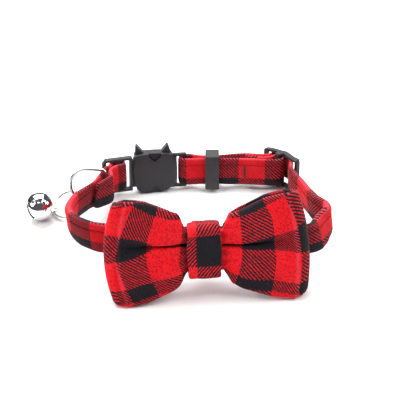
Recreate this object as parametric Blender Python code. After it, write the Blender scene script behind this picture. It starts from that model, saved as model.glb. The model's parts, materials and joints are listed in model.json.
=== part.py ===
"""Pet bow tie collar: a plaid strap loop with a cat head buckle, slider, keeper, D-ring, bell and bow.

Everything is worked out in millimetres and written out in metres at the end.
The collar leans back a little: "lean" points are x to the right, y away from the
viewer along the collar's own floor, and w up along the strap's own height.
"""
import math

import bmesh
import bpy
import numpy as np
from mathutils import Matrix, Vector

for old in list(bpy.data.objects):
    bpy.data.objects.remove(old, do_unlink=True)

# Stance of the whole collar
LEAN_DEG = 14.0            # how far the collar leans back
LEAN_HEIGHT = 8.6          # height of the lean frame's origin over the floor
SKEW = 0.13                # the back of the loop stands higher on the hardware

# Strap
RING_WIDTH = 88.3          # middle line to middle line, side to side
RING_DEPTH = 59.0          # middle line of the front to that of the back
RING_X = RING_WIDTH / 2
RING_Y = RING_DEPTH / 59.0
BAND_HEIGHT = 10.4
HALF_BAND = BAND_HEIGHT / 2
BAND_CLEARANCE = 0.4       # air over and under the strap in the buckle's slots
FREE_THICKNESS = 2.8       # folded flannel strap where nothing presses it
PRESSED_THICKNESS = 1.8    # where it is threaded or sewn
PINCHED_THICKNESS = 1.5    # where two layers share a slot of the slider
LAYER_GAP = 0.38           # air left between layers and off the bars

# Buckle
HEAD_THICKNESS = 4.6
HEAD_HALF_WIDTH = 8.4
EAR_HEIGHT = 2.8
FRAME_RAIL = 1.0           # height of the frames' rails
HEAD_RAIL = 1.0            # the head stands this much over the frames
SLOT_HALF_HEIGHT = HALF_BAND + BAND_CLEARANCE
FRAME_HALF_HEIGHT = SLOT_HALF_HEIGHT + FRAME_RAIL
HEAD_HALF_HEIGHT = FRAME_HALF_HEIGHT + HEAD_RAIL
FRAME_THICKNESS = 2.2
BAR_WIDTH = 1.4
SOCKET_GAP = 0.32

# Slider
RAIL_HEIGHT = 0.85
SLIDER_CLEARANCE = 0.45
SLIDER_HALF_HEIGHT = HALF_BAND + SLIDER_CLEARANCE + RAIL_HEIGHT
RAIL_WIDTH = 2.2
SLIDER_BAR_WIDTH = 1.5
SLIDER_BAR_DEPTH = 1.4

# Keeper
KEEPER_WIDTH = 5.2
KEEPER_WALL = 0.9
KEEPER_CLEARANCE = 0.4
KEEPER_ROOF = 0.8
KEEPER_HALF_HEIGHT = HALF_BAND + KEEPER_CLEARANCE + KEEPER_ROOF

# D-ring, bell ring and bell
D_WIRE = 1.2
D_DEPTH = 13.4
D_CLEARANCE = 0.7          # strap's edge to the D-ring's wire
D_HALF_HEIGHT = HALF_BAND + D_CLEARANCE + D_WIRE / 2
D_YAW_DEG = 7.7
BELL_RING_RADIUS = 5.98
BELL_RING_WIRE = 0.9
BELL_DIAMETER = 10.4
BELL_WALL = 0.7
BELL_SLOT_WIDTH = 1.0
BELL_SLOT_REACH_DEG = 70.0   # from the bell's pole to a slot's end
EYE_RADIUS = 1.25
EYE_WIRE = 0.8
PELLET_DIAMETER = 2.6

# Bow
BOW_LEFT_WIDTH = 30.9        # left end to the bow's middle
BOW_RIGHT_WIDTH = 33.2       # right end to the bow's middle
BOW_HEIGHT = 33.8
BACK_TRIM = 2.3            # the back panel stops higher at the bottom, so both stand on the floor
BOW_WALL = 1.8
BOW_PUFF = 3.0             # middle line of a panel off the bow's middle plane
BOW_WAIST = 1.1            # the same inside the knot
BOW_YAW_DEG = 4.0
BOW_ROLL_DEG = 1.4
BOW_EXTRA_LEAN_DEG = 4.0
BOW_AHEAD = 7.2            # bow's middle plane before the strap's middle line
BOW_FOOT = -22.55          # the bow's lowest edge, where it stands on the floor
BOW_PLACE = (1.2, -44.4 * RING_Y - BOW_AHEAD, BOW_FOOT + BOW_HEIGHT / 2)
PLEAT_DEPTH = 2.0
WAIST_SHARE = 0.415          # the waist's height as a share of the bow's
KNOT_WIDTH = 10.7
KNOT_WALL = 1.3
KNOT_CLEARANCE_UP = 0.4865
KNOT_CLEARANCE_DEEP = 0.475
KNOT_HEIGHT = WAIST_SHARE * BOW_HEIGHT + 2 * (KNOT_CLEARANCE_UP + KNOT_WALL)
KNOT_DEPTH = 2 * (BOW_WAIST + BOW_WALL / 2 + KNOT_CLEARANCE_DEEP + KNOT_WALL)
ELASTIC_WIDTH = 8.0
ELASTIC_WALL = 0.8

LEAN = math.radians(LEAN_DEG)
FLOOR_SHIFT = Vector((8.89, 22.45, 0.04))   # centres the finished collar over the origin


def lean_to_world(x, y, w):
    """Millimetre point of the leaning frame to the upright one."""
    return Vector((x, y * math.cos(LEAN) + w * math.sin(LEAN), LEAN_HEIGHT - y * math.sin(LEAN) + w * math.cos(LEAN)))


class Frame:
    """A flat piece's own plan directions: u along it, n outward, w up."""

    def __init__(self, origin, heading_deg):
        self.origin = origin
        self.heading = math.radians(heading_deg)

    def plan(self, u, n):
        c = math.cos(self.heading)
        s = math.sin(self.heading)
        return (self.origin[0] + u * c - n * s, self.origin[1] + u * s + n * c)

    def point(self, u, n, w):
        x, y = self.plan(u, n)
        return lean_to_world(x, y, y * SKEW + w)


HEAD = Frame((-16.93, 8.39), 6.7)
MALE = Frame((-30.67, 4.99), 17.3)
MALE_SPACING = 5.35        # end bar to middle bar
FEMALE_BAR = 11.8          # head middle to its strap bar
SLIDER = Frame((25.7, 14.2), -46.3)
KEEPER = Frame((4.6, 9.6), 0.0)
D_PLACE = (-34.2, -5.4)


def bar(centre, width, depth, heading_deg):
    """Plan centre, width along the strap, depth and heading of one bar."""
    return (centre, width, depth, heading_deg)


KEEPER_INNER = KEEPER.plan(0, -3.05)
KEEPER_OUTER = KEEPER.plan(0, 3.0)
ELASTIC_FRONT = (BOW_PLACE[0], -44.4 * RING_Y - 2.0)
ELASTIC_BACK = (BOW_PLACE[0], -44.4 * RING_Y + 2.0)
BARS = (
    bar(MALE.plan(-MALE_SPACING, 0), BAR_WIDTH, FRAME_THICKNESS, 17.3),
    bar(MALE.plan(0, 0), BAR_WIDTH, FRAME_THICKNESS, 17.3),
    bar(HEAD.plan(FEMALE_BAR, 0.15), BAR_WIDTH, 1.5, 6.7),
    bar((25.5, 14.3), SLIDER_BAR_WIDTH, SLIDER_BAR_DEPTH, -38.0),
    bar((29.3, 9.5), SLIDER_BAR_WIDTH, SLIDER_BAR_DEPTH, -46.0),
    bar((36.1, 3.3), SLIDER_BAR_WIDTH, SLIDER_BAR_DEPTH, -60.0),
    bar(D_PLACE, D_WIRE, D_WIRE, 0.0),
    bar(KEEPER_INNER, KEEPER_WIDTH, KEEPER_WALL, 0.0),
    bar(KEEPER_OUTER, KEEPER_WIDTH, KEEPER_WALL, 0.0),
    bar(ELASTIC_FRONT, ELASTIC_WIDTH, ELASTIC_WALL, 0.0),
    bar(ELASTIC_BACK, ELASTIC_WIDTH, ELASTIC_WALL, 0.0),
)


def strap_route():
    """The strap's plan route: x, y and a thickness share (1 free, 0 pressed, -1 pinched)."""
    route = [(-37.6, -13.3, 0), (-35.6, -10.6, 0), (-33.7, -8.8, 0), (-32.4, -6.2, 0), (-32.6, -3.8, 0)]
    route.append((-33.1, -1.6, 0))
    # round the buckle's middle bar and in under its end bar: u, n of the male frame
    off = FRAME_THICKNESS / 2 + LAYER_GAP + PRESSED_THICKNESS / 2
    loop = (
        (-3.0, -3.9), (-0.8, -off), (1.0, 0.3 - off), (2.0, -0.6), (1.9, 0.9), (0.8, off - 0.3), (-0.6, off),
        (-1.7, 1.9), (-2.3, 1.1), (-2.7, 0.0), (-3.1, -1.1), (-3.7, -2.0), (-5.0, -off),
    )
    route += [(*MALE.plan(u, n), 0) for u, n in loop]
    route += [(-35.5, -1.5, 0), (-36.2, -5.2, 0), (-37.4, -9.0, 0), (-39.3, -12.4, 0.1), (-41.2, -15.6, 0.7)]
    # the free ring, left side, front and right side: shares of half the width and of the depth
    ring = (
        (-0.974, -18.8, 1), (-1.0, -21.9, 1), (-1.006, -26.0, 1), (-0.998, -30.0, 1), (-0.967, -33.6, 1),
        (-0.917, -36.8, 1), (-0.852, -39.4, 1), (-0.77, -41.6, 1), (-0.657, -42.8, 1), (-0.453, -43.8, 1),
        (-0.226, -44.3, 0.7), (0.025, -44.4, 0.35), (0.272, -44.0, 0.7), (0.498, -43.6, 1), (0.668, -43.4, 1),
        (0.785, -43.0, 1), (0.852, -41.5, 1), (0.892, -38.8, 1), (0.94, -34.6, 1), (0.973, -31.5, 1),
        (0.992, -28.2, 1), (0.956, -24.5, 1), (0.922, -22.0, 1), (0.881, -16.6, 1),
    )
    route += [(share * RING_X, y * RING_Y, t) for share, y, t in ring]
    # inside the slider's right bar, over its middle bar, in past its left bar
    route += [(37.1, -10.2, 0.8), (34.9, -4.4, 0.4), (33.8, 1.0, 0.1), (34.1, 5.6, 0), (34.4, 9.4, 0)]
    route += [(34.0, 12.4, 0), (32.3, 14.9, -0.5), (30.0, 15.3, -1), (28.3, 14.2, -1), (26.9, 12.7, -1)]
    route += [(24.6, 12.0, -1), (20.6, 12.3, 0.2), (16.6, 12.6, 0.25), (11.8, 11.9, 0.2)]
    # through the keeper, round the head's bar and back through the keeper
    route += [(7.2, 10.85, 0), (4.6, 10.7, 0), (2.0, 10.6, 0), (-1.0, 10.9, 0), (-3.4, 11.9, 0)]
    x, y = HEAD.plan(FEMALE_BAR, 0.15)
    route += [(x, y + 2.05, 0), (x - 1.3, y + 1.6, 0), (x - 2.1, y + 0.2, 0), (x - 1.6, y - 1.4, 0)]
    route += [(x - 0.2, y - 2.05, 0), (-2.6, 7.9, 0), (0.0, 8.3, 0), (2.4, 8.3, 0), (4.6, 8.3, 0), (7.0, 8.3, 0)]
    route += [(11.5, 8.2, 0.2), (16.6, 8.05, 0.25), (20.6, 7.7, 0.2), (24.6, 7.2, -0.5), (27.4, 7.0, -1)]
    # round the slider's middle bar, the end sewn down between the two layers
    route += [(30.0, 7.3, -1), (31.4, 8.8, -1), (31.2, 10.8, -1), (29.9, 12.0, -1), (28.4, 11.5, -1)]
    route += [(27.3, 10.3, -1), (25.2, 9.6, -1), (20.8, 10.0, -0.5), (17.6, 10.3, 0)]
    return np.array(route, float)


def curve_through(points, step):
    """A fair curve through plan points (further columns ride along), at an even step."""
    total = len(points)
    out = []
    for i in range(total - 1):
        p1 = points[i]
        p2 = points[i + 1]
        p0 = points[i - 1] if i else 2 * p1 - p2
        p3 = points[i + 2] if i < total - 2 else 2 * p2 - p1
        k0 = np.linalg.norm((p1 - p0)[:2]) ** 0.5
        k1 = k0 + np.linalg.norm((p2 - p1)[:2]) ** 0.5
        k2 = k1 + np.linalg.norm((p3 - p2)[:2]) ** 0.5
        for t in np.linspace(k0, k1, 24, endpoint=False):
            a1 = p0 + (p1 - p0) * (t / k0)
            a2 = p1 + (p2 - p1) * ((t - k0) / (k1 - k0))
            a3 = p2 + (p3 - p2) * ((t - k1) / (k2 - k1))
            b1 = a1 + (a2 - a1) * (t / k1)
            b2 = a2 + (a3 - a2) * ((t - k0) / (k2 - k0))
            out.append(b1 + (b2 - b1) * ((t - k0) / (k1 - k0)))
    out.append(points[-1])
    fine = np.array(out)
    run = np.concatenate([[0], np.cumsum(np.linalg.norm(np.diff(fine[:, :2], axis=0), axis=1))])
    count = max(2, int(round(run[-1] / step)))
    at = np.linspace(0, run[-1], count + 1)
    return np.column_stack([np.interp(at, run, fine[:, k]) for k in range(fine.shape[1])])


def off_bars(places, thickness):
    """Moves strap points out of the reach of every bar."""
    for centre, width, depth, heading_deg in BARS:
        a = math.radians(heading_deg)
        along = np.array([math.cos(a), math.sin(a)])
        across = np.array([-along[1], along[0]])
        q = places - np.array(centre)
        u = q @ along
        v = q @ across
        du = u - np.clip(u, -width / 2, width / 2)
        dv = v - np.clip(v, -depth / 2, depth / 2)
        away = np.hypot(du, dv) + 1e-9
        short = thickness / 2 + LAYER_GAP + 0.04 - away
        hit = (short > 0) & (away > 0.01)
        places[hit] += (du / away * short)[hit, None] * along + (dv / away * short)[hit, None] * across


def settle(curve, step, rounds=240):
    """Eases the layers apart, and off the bars, until every gap holds."""
    home = curve[:, :2]
    share = curve[:, 2]
    rise = np.where(share > 0, FREE_THICKNESS - PRESSED_THICKNESS, PRESSED_THICKNESS - PINCHED_THICKNESS)
    thickness = PRESSED_THICKNESS + rise * share
    places = home.copy()
    order = np.arange(len(places))
    rest = np.linalg.norm(np.diff(home, axis=0), axis=1)
    apart = np.abs(order[:, None] - order[None, :]) * step > 5.0
    need = (thickness[:, None] + thickness[None, :]) / 2 + LAYER_GAP + 0.04
    for _ in range(rounds):
        places += (home - places) * 0.05
        bend = np.zeros_like(places)
        bend[1:-1] = (places[:-2] + places[2:]) / 2 - places[1:-1]
        ease = np.zeros_like(places)
        ease[1:-1] = bend[1:-1] - (bend[:-2] + bend[2:]) * 0.45
        places += ease * 0.15
        link = places[1:] - places[:-1]
        length = np.linalg.norm(link, axis=1)
        fix = (link / length[:, None]) * ((length - rest) * 0.4)[:, None]
        places[:-1] += fix
        places[1:] -= fix
        gap = places[:, None, :] - places[None, :, :]
        distance = np.linalg.norm(gap, axis=2) + 1e-9
        short = np.where(apart & (distance < need), need - distance, 0.0)
        push = (gap / distance[:, :, None]) * (short / 2)[:, :, None]
        count = np.maximum((short > 0).sum(axis=1), 1)
        places += push.sum(axis=1) / count[:, None] * 1.2
        off_bars(places, thickness)
    return np.column_stack([places, thickness])


def stations(curve, longest, turn_deg):
    """Thins a fine curve: a station every so many millimetres or degrees of turn."""
    heading = np.unwrap(np.arctan2(*np.gradient(curve[:, :2], axis=0).T[::-1]))
    kept = [0]
    run = 0.0
    for i in range(1, len(curve) - 1):
        run += np.linalg.norm(curve[i, :2] - curve[i - 1, :2])
        turned = abs(heading[i] - heading[kept[-1]])
        if run >= longest or turned >= math.radians(turn_deg):
            kept.append(i)
            run = 0.0
    kept.append(len(curve) - 1)
    return kept, heading


# how far the strap's top leans inward per millimetre of height: plan y, left side, right side
SIDE_LEAN = ((-44, 0.0, 0.0), (-40, -0.1, 0.26), (-36, -0.17, 0.26), (-31, -0.14, 0.12), (-26, -0.03, 0.04),
             (-21, 0.13, 0.1), (-17, 0.2, 0.14), (-12, 0.2, 0.12), (-7.5, 0.0, 0.06), (-3, 0.0, 0.0))


def side_lean(x, y):
    """Sideways shift of the strap per millimetre of its height."""
    rows = np.array(SIDE_LEAN)
    if x < 0:
        return float(np.interp(y / RING_Y, rows[:, 0], rows[:, 1]))
    return -float(np.interp(y / RING_Y, rows[:, 0], rows[:, 2]))


# section of the strap, half of it: share of half the thickness, share of half the height.
# The dip below the top edge is the long seam.
STRAP_SECTION = ((0, 1), (0.6, 0.93), (0.95, 0.74), (0.97, 0.58), (0.78, 0.5), (1, 0.4), (1, -0.5), (0.75, -0.9),
                 (0, -1))


def strap_rings():
    """Cross sections of the strap along its whole route, in world millimetres."""
    settled = settle(curve_through(strap_route(), 1.0), 1.0)
    fine = curve_through(settled, 0.4)
    kept, heading = stations(fine, 4.2, 15.0)
    around = list(STRAP_SECTION) + [(-n, w) for n, w in STRAP_SECTION[-2:0:-1]]
    rings = []
    for i in kept:
        x, y, thickness = fine[i]
        normal = (math.sin(heading[i]), -math.cos(heading[i]))
        shift = side_lean(x, y)
        ring = []
        for n, w in around:
            reach = n * thickness / 2
            height = w * HALF_BAND
            ring.append(lean_to_world(x + normal[0] * reach + shift * height, y + normal[1] * reach,
                                      y * SKEW + height))
        rings.append(ring)
    return rings


def material(name, colour, metallic, roughness):
    """A plain Principled finish."""
    mat = bpy.data.materials.new(name)
    mat.use_nodes = True
    shader = mat.node_tree.nodes["Principled BSDF"]
    shader.inputs["Base Color"].default_value = (*colour, 1.0)
    shader.inputs["Metallic"].default_value = metallic
    shader.inputs["Roughness"].default_value = roughness
    return mat


def finish(bm, name, mat, smooth):
    """One named object from a millimetre mesh, in metres over the origin."""
    for vert in bm.verts:
        vert.co = (vert.co + FLOOR_SHIFT) * 0.001
    bmesh.ops.recalc_face_normals(bm, faces=bm.faces[:])
    for face in bm.faces:
        face.smooth = smooth
    mesh = bpy.data.meshes.new(name)
    bm.to_mesh(mesh)
    bm.free()
    mesh.materials.append(mat)
    obj = bpy.data.objects.new(name, mesh)
    bpy.context.scene.collection.objects.link(obj)
    return obj


def from_rings(rings, closed):
    """A skin over rings of points; open runs get end caps."""
    bm = bmesh.new()
    rows = [[bm.verts.new(p) for p in ring] for ring in rings]
    count = len(rows[0])
    last = len(rows) if closed else len(rows) - 1
    for i in range(last):
        a = rows[i]
        b = rows[(i + 1) % len(rows)]
        for k in range(count):
            bm.faces.new((a[k], a[(k + 1) % count], b[(k + 1) % count], b[k]))
    if not closed:
        bm.faces.new(rows[0])
        bm.faces.new(list(reversed(rows[-1])))
    return bm


def tube(path, radius, sides, closed, up):
    """A round wire along world points; up keeps the section from twisting."""
    total = len(path)
    rings = []
    for i in range(total):
        if closed:
            ahead = (path[(i + 1) % total] - path[i - 1]).normalized()
        else:
            ahead = (path[min(i + 1, total - 1)] - path[max(i - 1, 0)]).normalized()
        side = ahead.cross(up).normalized()
        rise = side.cross(ahead).normalized()
        ring = []
        for k in range(sides):
            a = 2 * math.pi * k / sides
            ring.append(path[i] + side * (radius * math.cos(a)) + rise * (radius * math.sin(a)))
        rings.append(ring)
    return from_rings(rings, closed)


def prism(outline, low, high, place, bevel=0.0):
    """An outline in two of a piece's directions, raised through the third; place makes the points."""
    rings = [[place(a, b, c) for a, b in outline] for c in (low, high)]
    bm = from_rings(rings, False)
    if bevel:
        bm.verts.index_update()
        ends = [e for e in bm.edges if e.verts[0].index // len(outline) == e.verts[1].index // len(outline)]
        bmesh.ops.bevel(bm, geom=ends, offset=bevel, offset_type="OFFSET", segments=2, profile=0.5, affect="EDGES",
                        material=-1, clamp_overlap=True)
    return bm


def solid(bm, name):
    """A helper object for joining and cutting."""
    bmesh.ops.recalc_face_normals(bm, faces=bm.faces[:])
    mesh = bpy.data.meshes.new(name)
    bm.to_mesh(mesh)
    bm.free()
    obj = bpy.data.objects.new(name, mesh)
    bpy.context.scene.collection.objects.link(obj)
    return obj


def joined(base, adds=(), cuts=()):
    """The base with pieces added and cut away, as one mesh again."""
    body = solid(base, "body")
    helpers = []
    for operation, pieces in (("UNION", adds), ("DIFFERENCE", cuts)):
        for piece in pieces:
            helper = solid(piece, "helper")
            helpers.append(helper)
            mod = body.modifiers.new("join", "BOOLEAN")
            mod.solver = "EXACT"
            mod.operation = operation
            mod.object = helper
    bpy.context.view_layer.update()
    result = bmesh.new()
    result.from_object(body, bpy.context.evaluated_depsgraph_get())
    for obj in helpers + [body]:
        bpy.data.objects.remove(obj, do_unlink=True)
    bmesh.ops.remove_doubles(result, verts=result.verts[:], dist=0.0005)
    bmesh.ops.dissolve_degenerate(result, edges=result.edges[:], dist=0.0005)
    return result


def box(place, a, b, c):
    """A box between pairs of values in a piece's own directions."""
    outline = ((a[0], b[0]), (a[1], b[0]), (a[1], b[1]), (a[0], b[1]))
    return prism(outline, c[0], c[1], place)


def build_strap(mat):
    """The strap, one length of folded cloth from sewn end to sewn end."""
    return finish(from_rings(strap_rings(), False), "collar_band", mat, True)


# the cat head from the front: share of the half width, share of the half height
HEAD_OUTLINE = (
    (-0.93, 0.93), (-0.55, 0.985), (0.0, 1.0), (0.5, 0.985), (0.72, 0.96), (0.97, 0.5), (1.0, 0.1), (0.985, -0.4),
    (0.8, -0.72), (0.52, -0.9), (0.2, -1.0), (-0.6, -1.0), (-0.82, -0.86), (-0.97, -0.5), (-1.0, 0.1), (-1.0, 0.6),
)
# each ear: root, root and tip as share of the half width and millimetres over the head's top
LEFT_EAR = ((-0.91, -0.9), (-0.82, 0.55), (-0.42, -0.9))
RIGHT_EAR = ((0.17, -0.9), (0.56, 0.62), (0.72, -0.9))


def ear(shape, place):
    """A pointed ear standing on the head's top edge."""
    (x0, y0), (x1, y1), (x2, y2) = shape
    peak = x1 * HEAD_HALF_WIDTH
    outline = (
        (x0 * HEAD_HALF_WIDTH, HEAD_HALF_HEIGHT + y0), (x2 * HEAD_HALF_WIDTH, HEAD_HALF_HEIGHT + y2),
        (peak + 0.45, HEAD_HALF_HEIGHT + EAR_HEIGHT - 0.5), (peak, HEAD_HALF_HEIGHT + EAR_HEIGHT),
        (peak - 0.45, HEAD_HALF_HEIGHT + EAR_HEIGHT - 0.4),
    )
    return prism(outline, -0.9, HEAD_THICKNESS / 2 - 0.3, place, 0.3)


def build_head(mat):
    """The cat head half of the buckle with its socket, strap slot and face marks."""
    def place(u, w, n):
        return HEAD.point(u, n, w)

    outline = [(u * HEAD_HALF_WIDTH, w * HEAD_HALF_HEIGHT) for u, w in HEAD_OUTLINE]
    head = prism(outline, -HEAD_THICKNESS / 2, HEAD_THICKNESS / 2, place, 0.55)
    end = FEMALE_BAR + BAR_WIDTH / 2
    tail = ((4.0, -FRAME_HALF_HEIGHT), (end - 1.0, -FRAME_HALF_HEIGHT), (end, 1.2 - FRAME_HALF_HEIGHT),
            (end, FRAME_HALF_HEIGHT - 1.2), (end - 1.0, FRAME_HALF_HEIGHT), (4.0, FRAME_HALF_HEIGHT))
    strap_frame = prism(tail, -0.6, 0.9, place, 0.25)
    slot = box(place, (HEAD_HALF_WIDTH - 0.25, FEMALE_BAR - BAR_WIDTH / 2), (-SLOT_HALF_HEIGHT, SLOT_HALF_HEIGHT),
               (-4, 4))
    tongue_half = FRAME_THICKNESS / 2 + SOCKET_GAP
    socket = box(place, (-HEAD_HALF_WIDTH - 1.0, -1.4), (-SLOT_HALF_HEIGHT, SLOT_HALF_HEIGHT),
                 (MALE_SET - tongue_half, MALE_SET + tongue_half))
    top = HEAD_HALF_HEIGHT
    front = -HEAD_THICKNESS / 2
    brow = prism(((-2.5, top + 1), (2.2, top + 1), (2.2, top - 1.0), (-0.1, top - 3.1), (-2.5, top - 1.0)),
                 front - 1, front + 0.7, place)
    chin = prism(((-1.8, -top - 1), (-1.8, -top + 0.6), (0.2, -top + 2.7), (2.2, -top + 0.6), (2.2, -top - 1)),
                 front - 1, front + 0.7, place)
    bm = joined(head, (strap_frame, ear(LEFT_EAR, place), ear(RIGHT_EAR, place)), (slot, socket, brow, chin))
    return finish(bm, "cat_head_buckle", mat, False)


MALE_SET = -0.62           # the insert sits a little toward the neck in the head


def build_insert(mat):
    """The other half of the buckle: strap bars outside, a plain tongue in the socket."""
    edge = 5.3

    def place(u, w, n):
        if u <= edge:
            return MALE.point(u, n, w)
        foot = HEAD.point(-HEAD_HALF_WIDTH + 0.1 + (u - edge), n + MALE_SET, w)
        return foot

    half = FRAME_THICKNESS / 2
    end = -MALE_SPACING - BAR_WIDTH / 2
    frame_outline = (
        (end, 1.5 - FRAME_HALF_HEIGHT), (end + 1.2, -FRAME_HALF_HEIGHT), (edge, -FRAME_HALF_HEIGHT),
        (edge, FRAME_HALF_HEIGHT), (end + 1.2, FRAME_HALF_HEIGHT), (end, FRAME_HALF_HEIGHT - 1.5),
    )
    frame = prism(frame_outline, -half, half, place, 0.3)
    cuts = [
        box(place, (-MALE_SPACING + BAR_WIDTH / 2, -BAR_WIDTH / 2), (-SLOT_HALF_HEIGHT, SLOT_HALF_HEIGHT), (-4, 4)),
        box(place, (BAR_WIDTH / 2, edge - 1.0), (-SLOT_HALF_HEIGHT, SLOT_HALF_HEIGHT), (-4, 4)),
    ]
    tongue_half = SLOT_HALF_HEIGHT - SOCKET_GAP
    rings = []
    for u in (edge - 0.9, edge, edge + 1.2, edge + 5.0, edge + 6.2):
        tight = 0.5 if u > edge + 5.5 else 0.0
        rings.append([place(u, w, n) for w, n in (
            (-tongue_half + tight, -half + 0.3), (tongue_half - tight, -half + 0.3),
            (tongue_half - tight, half - 0.3), (-tongue_half + tight, half - 0.3))])
    bm = joined(frame, (from_rings(rings, False),), cuts)
    return finish(bm, "buckle_insert", mat, False)


def build_keeper(mat):
    """A flat loop that holds both layers of strap together."""
    inner = KEEPER_INNER[1] - KEEPER_WALL / 2 - KEEPER.origin[1]
    outer = KEEPER_OUTER[1] + KEEPER_WALL / 2 - KEEPER.origin[1]
    half = KEEPER_WIDTH / 2

    def place(n, w, u):
        return KEEPER.point(u, n, w)

    body = prism(((inner, -KEEPER_HALF_HEIGHT), (outer, -KEEPER_HALF_HEIGHT), (outer, KEEPER_HALF_HEIGHT),
                  (inner, KEEPER_HALF_HEIGHT)), -half, half, place, 0.25)
    high = KEEPER_HALF_HEIGHT - KEEPER_ROOF
    hole = box(place, (inner + KEEPER_WALL, outer - KEEPER_WALL), (-high, high), (-half - 1, half + 1))
    return finish(joined(body, (), (hole,)), "strap_keeper", mat, False)


# the slider's arched rail: along the chord, outward middle of the rail
RAIL_LINE = ((-0.7, 0.15), (0.3, 0.45), (2.8, 1.35), (6.1, 1.75), (9.5, 1.3), (12.6, 0.4), (14.6, 0.0), (15.3, 0.0))


def build_slider(mat):
    """The size slider: two arched rails and three bars."""
    def place(u, n, w):
        return SLIDER.point(u, n, w)

    outer = [(u, n + RAIL_WIDTH / 2) for u, n in RAIL_LINE]
    inner = [(u, n - RAIL_WIDTH / 2) for u, n in RAIL_LINE]
    lug = [(7.4, 1.1), (7.0, -1.0), (5.2, -1.0), (4.6, 1.0)]
    inner = [p for p in inner if p[0] < 4.6] + lug[::-1] + [p for p in inner if p[0] > 7.4]
    outline = inner + outer[::-1]
    low = SLIDER_HALF_HEIGHT - RAIL_HEIGHT
    pieces = [prism(outline, low, SLIDER_HALF_HEIGHT, place, 0.2),
              prism(outline, -SLIDER_HALF_HEIGHT, -low, place, 0.2)]
    for centre, width, depth, heading_deg in BARS[3:6]:
        own = Frame(centre, heading_deg)
        shape = ((-width / 2, -depth / 2), (width / 2, -depth / 2), (width / 2, depth / 2), (-width / 2, depth / 2))
        pieces.append(prism(shape, -low - 0.4, low + 0.4, own.point))
    return finish(joined(pieces[0], pieces[1:]), "slider", mat, False)


def build_d_ring(mat):
    """The welded D-ring, its straight bar in the strap's sewn loop."""
    reach = D_HALF_HEIGHT
    corner = 1.3
    flat = [(0.0, w) for w in np.linspace(-reach + corner, reach - corner, 5)]
    flat += [(corner * (1 - math.cos(a)), reach - corner + corner * math.sin(a)) for a in (0.5, 1.0)]
    flat += [(u, reach) for u in np.linspace(corner, D_DEPTH - reach, 3)]
    flat += [(D_DEPTH - reach + reach * math.sin(a), reach * math.cos(a)) for a in np.linspace(0.25, math.pi - 0.25, 12)]
    flat += [(u, -reach) for u in np.linspace(D_DEPTH - reach, corner, 3)]
    flat += [(corner * (1 - math.cos(a)), -reach + corner - corner * math.sin(a)) for a in (1.0, 0.5)]
    frame = Frame(D_PLACE, 180.0 - D_YAW_DEG)
    path = [frame.point(u, 0.0, w) for u, w in flat]
    across = frame.point(0.0, 1.0, 0.0) - frame.point(0.0, 0.0, 0.0)
    return finish(tube(path, D_WIRE / 2, 8, True, across), "d_ring", mat, True)


BELL_RING_CENTRE = Vector((-48.0, -7.81, 3.5))
BELL_AWAY = (-0.924, -0.382)   # level direction from the ring to the bell
BELL_REACH = BELL_DIAMETER / 2 - 5.2   # a larger bell lies further out, and always on the floor
BELL_CENTRE = Vector((-57.9 + BELL_AWAY[0] * BELL_REACH, -11.9 + BELL_AWAY[1] * BELL_REACH, BELL_DIAMETER / 2))
BELL_RING_NORMAL = Vector((-0.243, -0.285, 0.927)).normalized()
BELL_SLOT_TOWARD = Vector((-0.28, -0.85, -0.44))   # one arm of the cross runs this way


def circle(centre, normal, radius, count):
    """Points round a circle."""
    a = normal.orthogonal().normalized()
    b = normal.cross(a)
    turns = [2 * math.pi * k / count for k in range(count)]
    return [centre + a * (radius * math.cos(t)) + b * (radius * math.sin(t)) for t in turns]


def build_bell_ring(mat):
    """The jump ring between the D-ring and the bell's eye."""
    path = circle(BELL_RING_CENTRE, BELL_RING_NORMAL, BELL_RING_RADIUS, 32)
    return finish(tube(path, BELL_RING_WIRE / 2, 8, True, BELL_RING_NORMAL), "bell_ring", mat, True)


def ball(centre, radius, rows, columns, axis):
    """A round ball whose poles lie on the axis."""
    bm = bmesh.new()
    bmesh.ops.create_uvsphere(bm, u_segments=columns, v_segments=rows, radius=radius)
    turn = axis.to_track_quat("Z", "Y").to_matrix().to_4x4()
    bmesh.ops.transform(bm, matrix=Matrix.Translation(centre) @ turn, verts=bm.verts[:])
    return bm


def slot_cuts(axis, along, across, radius):
    """Cutters for one slot over the bell's pole, with a round hole at each end."""
    def place(u, v, w):
        return BELL_CENTRE + along * u + across * v + axis * w

    half = BELL_SLOT_WIDTH / 2
    floor = radius * math.cos(math.radians(BELL_SLOT_REACH_DEG))
    cuts = [box(place, (-radius, radius), (-half, half), (floor, radius + 1))]
    for sign in (-1, 1):
        a = math.radians(BELL_SLOT_REACH_DEG)
        out = along * (sign * math.sin(a)) + axis * math.cos(a)
        over = across.cross(out)
        ends = []
        for reach in (radius * 0.6, radius * 1.3):
            ring = []
            for k in range(10):
                t = 2 * math.pi * k / 10
                spread = across * math.cos(t) + over * math.sin(t)
                ring.append(BELL_CENTRE + out * reach + spread * (BELL_SLOT_WIDTH * 0.78))
            ends.append(ring)
        cuts.append(from_rings(ends, False))
    return cuts


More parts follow.
